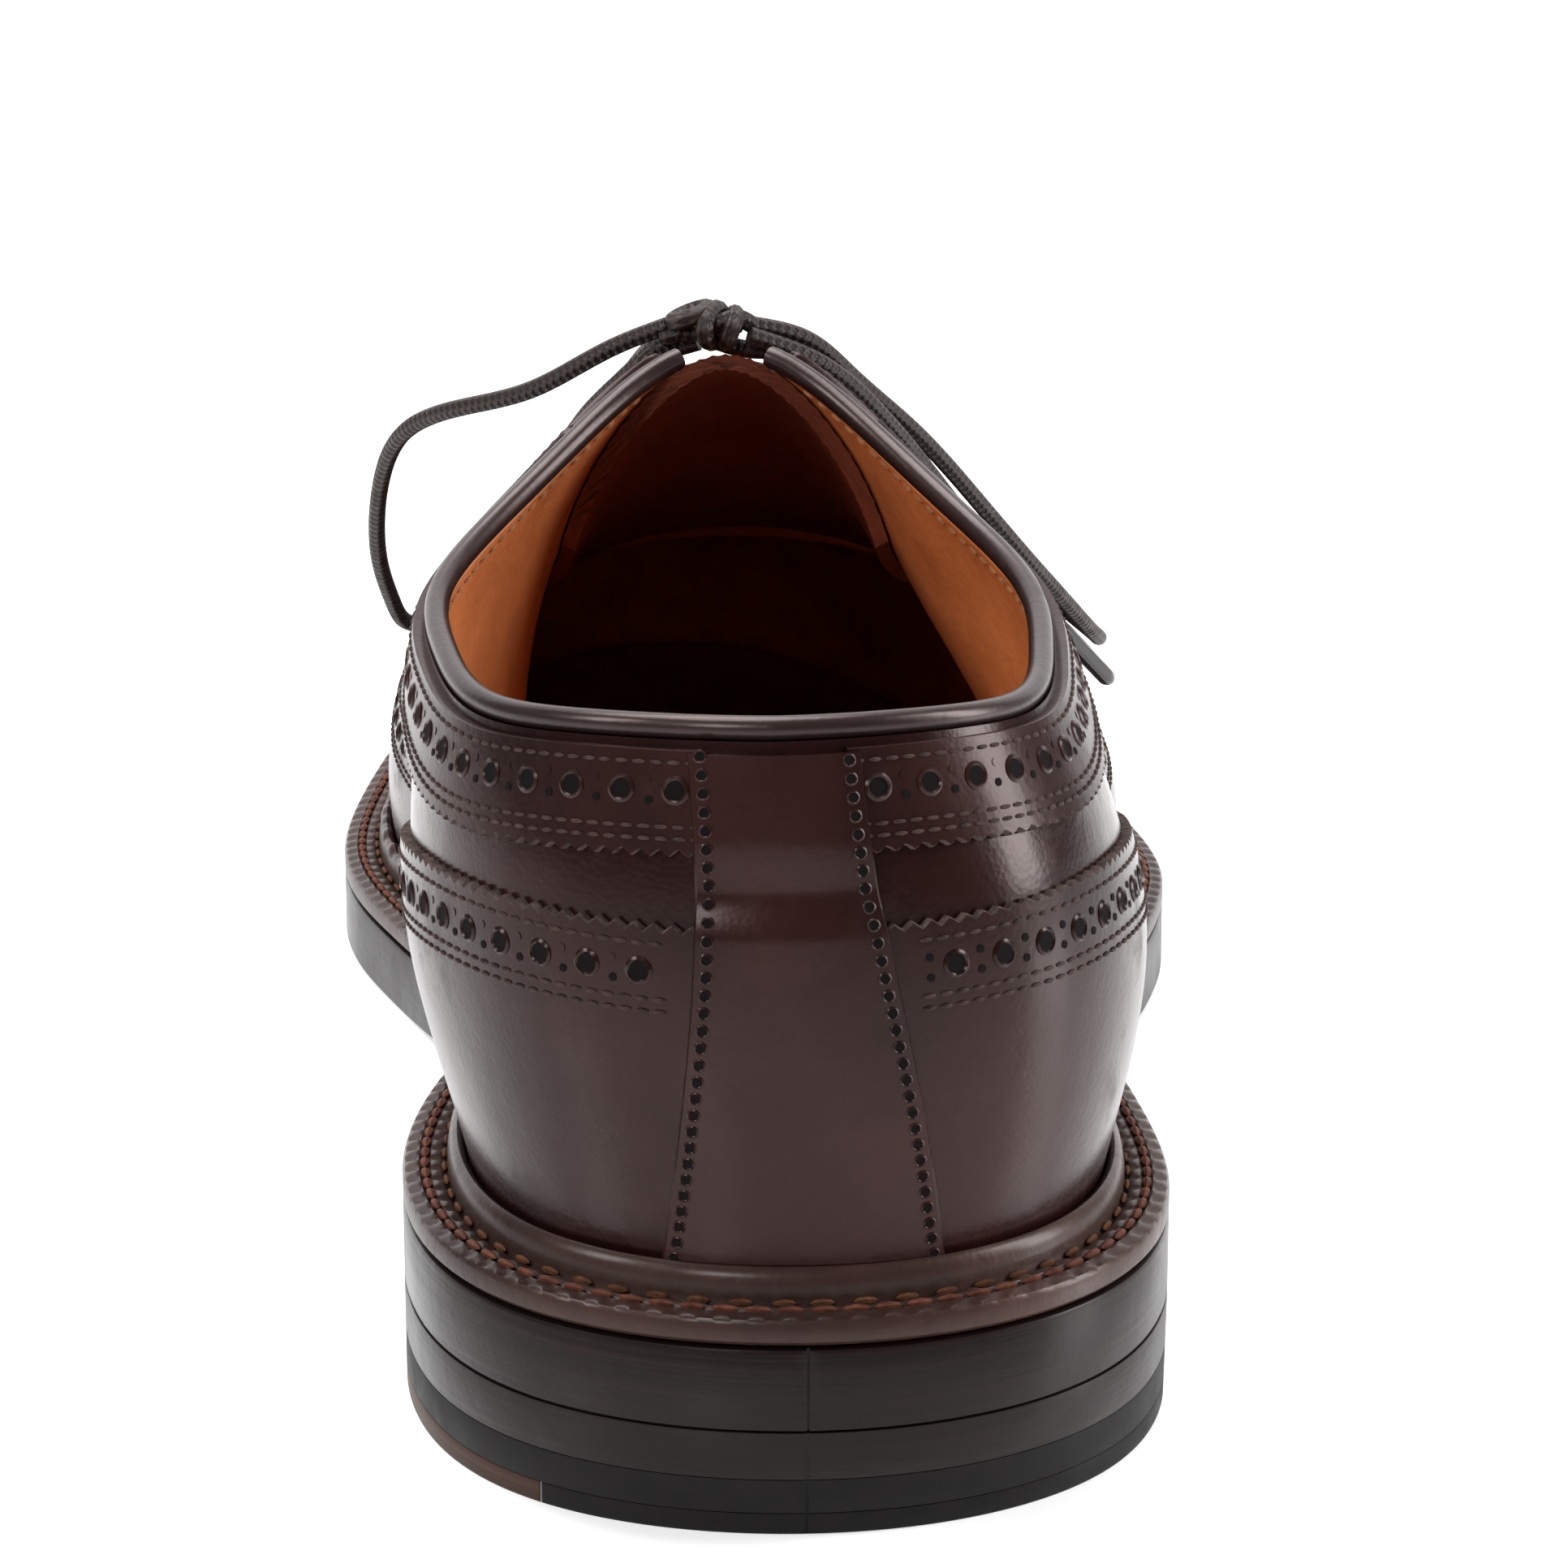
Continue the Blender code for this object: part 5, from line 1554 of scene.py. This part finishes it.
@dataclass
class Laces:
    """The lace: bars through the eyelets, the knot, two loops and two ends with aglets."""

    shop: Workshop
    radius: float = 0.0011
    rows: int = 4
    first_row: float = 0.1290
    row_pitch: float = 0.0125
    eyelet_from_edge: float = 0.0065
    eyelet_radius: float = 0.0019
    knot: tuple = (-0.0060, 0.1186, 0.1073)
    aglet_radius: float = 0.0012
    aglet_length: float = 0.022
    dip: float = 0.0008
    spacing: float = 0.0006
    around: int = 12

    def tube(self, name: str, line: np.ndarray, radius: np.ndarray | float | None = None) -> bpy.types.Object:
        """Closed tube of lace along a line in world space."""
        radius = self.radius if radius is None else radius
        return self.shop.maker.loft(name, tube_skin(line, radius, self.around), closed=True)

    def build_free(self) -> None:
        """The free cords: loops that fall over the quarters and ends with their aglets."""
        last, maker, finish = self.shop.last, self.shop.maker, self.shop.finish
        for side, loop, end in (
                (Side.MEDIAL, LOOP_MEDIAL, END_MEDIAL), (Side.LATERAL, LOOP_LATERAL, END_LATERAL)):
            word = side.name.lower()
            line = smooth_line(loop, self.spacing) + last.shift
            piece = self.tube("bow_loop_" + word, line)
            maker.settle(piece, [finish.lace], Slot.LACE, "lace_loop_" + word)
            line = smooth_line(end, self.spacing) + last.shift
            piece = self.tube("bow_end_" + word, line)
            maker.settle(piece, [finish.lace], Slot.LACE, "lace_end_" + word)
            direction = unit(np.subtract(end[-1], end[-2]))
            run = np.linspace(-0.0004, self.aglet_length, 24)
            tip = line[-1] + run[:, None] * direction
            width = self.aglet_radius * np.sqrt(np.clip((self.aglet_length + 0.0004 - run) / 0.0009, 0.12, 1))
            width = width * np.where(run < 0.0006, 1.06, 1.0)
            film = self.tube("aglet_film_" + word, tip, width)
            maker.settle(film, [finish.aglet], Slot.AGLET, "aglet_" + word)

    def eyelets(self, y: float) -> tuple[tuple[float, float], tuple[float, float]]:
        """Places of the medial and the lateral eyelet of the row whose crest stands at Y."""
        last = self.shop.last
        s = last.crest_station(y)
        medial = last.below(s, last.top(s), self.eyelet_from_edge)[0]
        lateral = 2 - last.below(2 - s, last.top(2 - s), self.eyelet_from_edge)[0]
        return (s, medial), (s, lateral)

    def build_lacing(self) -> None:
        """Eyelets, the bars that run through them, and the lace under the knot."""
        last, maker, finish = self.shop.last, self.shop.maker, self.shop.finish
        over = last.overlay + self.radius
        ends, middle = [0, 0.02, 0.06, 0.12], np.linspace(0.2, 0.8, 9)
        heights = [-self.dip, self.dip, over * 0.85, over]
        share = np.concatenate([ends, middle, [0.88, 0.94, 0.98, 1]])
        lift = np.concatenate([heights, np.full(len(middle), over), heights[::-1]])
        holes = bmesh.new()
        for row in range(-1, self.rows):
            (s, medial), (_, lateral) = self.eyelets(self.first_row + row * self.row_pitch)
            for t in (medial, lateral):
                line = last.at(s, np.array([t - 0.004, t, t + 0.004]), last.overlay + STAND)
                spot = maker.frames(line, last.facing(s, np.array([t] * 3)), lengths(line)[-1])
                maker.punch(holes, spot, self.eyelet_radius, PUNCH_LIP)
            if row < 0:
                continue
            line = last.at(s, medial + (lateral - medial) * share, lift)
            piece = self.tube("lace_crossing_%d" % (row + 1), smooth_line(line, self.spacing))
            maker.settle(piece, [finish.lace], Slot.LACE, "lace_bar_%d" % (row + 1))
        # The eyelet floors take the painted shade finish.
        maker.settle(maker.object("eyelet_holes", holes), [finish.overlay, finish.dark], Slot.OVERLAY)
        (s, medial), (_, lateral) = self.eyelets(self.first_row - self.row_pitch)
        centre = np.array(self.knot) + last.shift
        for name, t, side in (("medial", medial, -1), ("lateral", lateral, 1)):
            points = [last.at(s, t, -self.dip), last.at(s, t, 0.0010),
                      last.at(s, t + (1 - t) * 0.12, over + 0.0003),
                      centre + (side * 0.0045, 0.0010, -0.0032), centre + (side * 0.0012, 0.0006, -0.0022)]
            piece = self.tube("lace_to_knot_" + name, smooth_line(points, self.spacing))
            maker.settle(piece, [finish.lace], Slot.LACE, "lace_knot")

    def build_knot(self) -> None:
        """The tied bow: one turn wrapped over two crossing strands."""
        last, maker, finish = self.shop.last, self.shop.maker, self.shop.finish
        centre = np.array(self.knot) + last.shift
        turn = np.linspace(0, 2 * math.pi, 60)
        strands = {
            "bow_knot_wrap": np.column_stack([
                0.0012 * np.sin(turn) + 0.0006, 0.0028 * np.sin(turn), 0.0020 * np.cos(turn) - 0.0001]),
            "bow_knot_turn": np.column_stack([
                0.0026 + 0.0006 * np.cos(turn), 0.0024 * np.sin(turn), 0.0017 * np.cos(turn) - 0.0004]),
            "bow_knot_roll": np.column_stack([
                0.0021 * np.cos(turn) - 0.0022, 0.0021 * np.sin(turn), 0.0008 * np.cos(turn) + 0.0012]),
            "bow_knot_medial": smooth_line((
                (-0.0056, 0.0000, -0.0014), (-0.0038, -0.0004, -0.0010), (-0.0010, 0.0012, 0.0008),
                (0.0012, -0.0008, -0.0004), (0.0034, 0.0006, -0.0002)), 0.0004),
            "bow_knot_lateral": smooth_line((
                (0.0050, 0.0003, 0.0000), (0.0036, -0.0010, 0.0009), (0.0012, -0.0014, 0.0004),
                (-0.0014, -0.0006, -0.0008), (-0.0040, -0.0010, -0.0006)), 0.0004),
        }
        for name, line in strands.items():
            piece = self.tube(name, line + centre)
            maker.settle(piece, [finish.lace], Slot.LACE, "lace_knot")


@dataclass
class Studio:
    """White ground and backdrop, soft lights and the camera at the photograph's viewing angle."""

    last: Last
    distance: float = 0.491
    height: float = 0.218
    offset: float = 0.0455
    turn: float = math.radians(2.3)
    aim: tuple = (0.0, -0.045, 0.0515)
    lens: float = 118.0
    ground_glow: float = 0.42
    backdrop_glow: float = 1.0
    reach: float = 3.0
    backdrop: float = 2.9
    light_aim: float = 0.05

    def camera(self) -> None:
        """Camera behind the heel, above the collar, looking along the shoe."""
        x = self.distance * math.sin(self.turn) - self.offset * math.cos(self.turn)
        y = -self.distance * math.cos(self.turn) - self.offset * math.sin(self.turn)
        lens = bpy.data.cameras.new("camera")
        lens.lens = self.lens
        lens.sensor_width = 36.0
        lens.clip_start = 0.02
        camera = bpy.data.objects.new("camera", lens)
        camera.location = (x + self.last.shift[0], y + self.last.shift[1], self.height)
        direction = Vector(self.aim) - camera.location
        camera.rotation_euler = direction.to_track_quat("-Z", "Y").to_euler()
        bpy.context.scene.collection.objects.link(camera)
        bpy.context.scene.camera = camera

    def sheet(self, name: str, segments: int, material: bpy.types.Material, upright: bool) -> None:
        """Large square sheet of the stage.

        Args:
            name: Name of the sheet.
            segments: Faces along a side.
            material: Its finish.
            upright: Whether it stands far beyond the toe, and isn't the ground.
        """
        bm = bmesh.new()
        bmesh.ops.create_grid(bm, x_segments=segments, y_segments=segments, size=self.reach)
        if upright:
            bmesh.ops.rotate(bm, verts=bm.verts[:], matrix=Matrix.Rotation(math.pi / 2, 3, "X"))
            bmesh.ops.translate(bm, verts=bm.verts[:], vec=(0.0, self.backdrop, self.backdrop))
        mesh = bpy.data.meshes.new(name)
        bm.to_mesh(mesh)
        bm.free()
        mesh.materials.append(material)
        sheet = bpy.data.objects.new(name, mesh)
        bpy.context.scene.collection.objects.link(sheet)
        sheet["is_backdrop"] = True

    def floor(self) -> None:
        """Glossy white ground, and a white backdrop far beyond the toe."""
        ground, wall = Shader("white_ground"), Shader("white_backdrop")
        cloud = ground.noise(ground.place(), 3.0, 3, 0.5)
        self.sheet("floor", 2, ground.dress({
            "Base Color": ground.blend(cloud, (0.78, 0.78, 0.78), (0.81, 0.81, 0.81)), "Roughness": 0.16,
            "Specular IOR Level": 0.4, "Emission Color": WHITE,
            "Emission Strength": self.ground_glow}), False)
        self.sheet("backdrop", 1, wall.dress({
            "Base Color": (0.8, 0.8, 0.8, 1.0), "Emission Color": WHITE,
            "Emission Strength": self.backdrop_glow}), True)

    def light(self, name: str, place: tuple, size: tuple, power: float) -> None:
        """Soft box aimed at the shoe.

        Args:
            name: Name of the light.
            place: Where it stands.
            size: Width and height.
            power: Watts.
        """
        lamp = bpy.data.lights.new(name, "AREA")
        lamp.shape = "RECTANGLE"
        lamp.size, lamp.size_y = size
        lamp.energy = power
        holder = bpy.data.objects.new(name, lamp)
        holder.location = place
        direction = Vector((0, 0, self.light_aim)) - Vector(place)
        holder.rotation_euler = direction.to_track_quat("-Z", "Y").to_euler()
        bpy.context.scene.collection.objects.link(holder)

    def build(self) -> None:
        """Set the stage."""
        self.floor()
        for light in LIGHTS:
            self.light(*light)
        world = bpy.data.worlds.new("pale_room")
        world.use_nodes = True
        background = world.node_tree.nodes["Background"]
        background.inputs["Color"].default_value = (0.95, 0.96, 0.98, 1.0)
        background.inputs["Strength"].default_value = 0.12
        bpy.context.scene.world = world
        bpy.context.scene.view_settings.view_transform = "Standard"


def corners(box: Sequence) -> list[list[float]]:
    """A box as plain lists of numbers."""
    return [[float(value) for value in corner] for corner in box]


def main() -> None:
    """Load the frame, build the shoe on it and measure both sizes."""
    logging.basicConfig(level=logging.INFO, format="%(name)s %(message)s")
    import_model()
    cad_size = corners(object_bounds())
    last = Last()
    shop = Workshop(last, Maker(last), Wardrobe())
    studio = Studio(last)
    studio.camera()
    laces = Laces(shop)
    laces.build_free()
    Upper(shop).build()
    Collar(shop).build()
    Inside(shop).build()
    Welt(shop).build()
    SoleStack(shop).build()
    laces.build_lacing()
    laces.build_knot()
    studio.build()
    {"cad": cad_size, "visual": corners(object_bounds())}


if __name__ == "__main__":
    main()
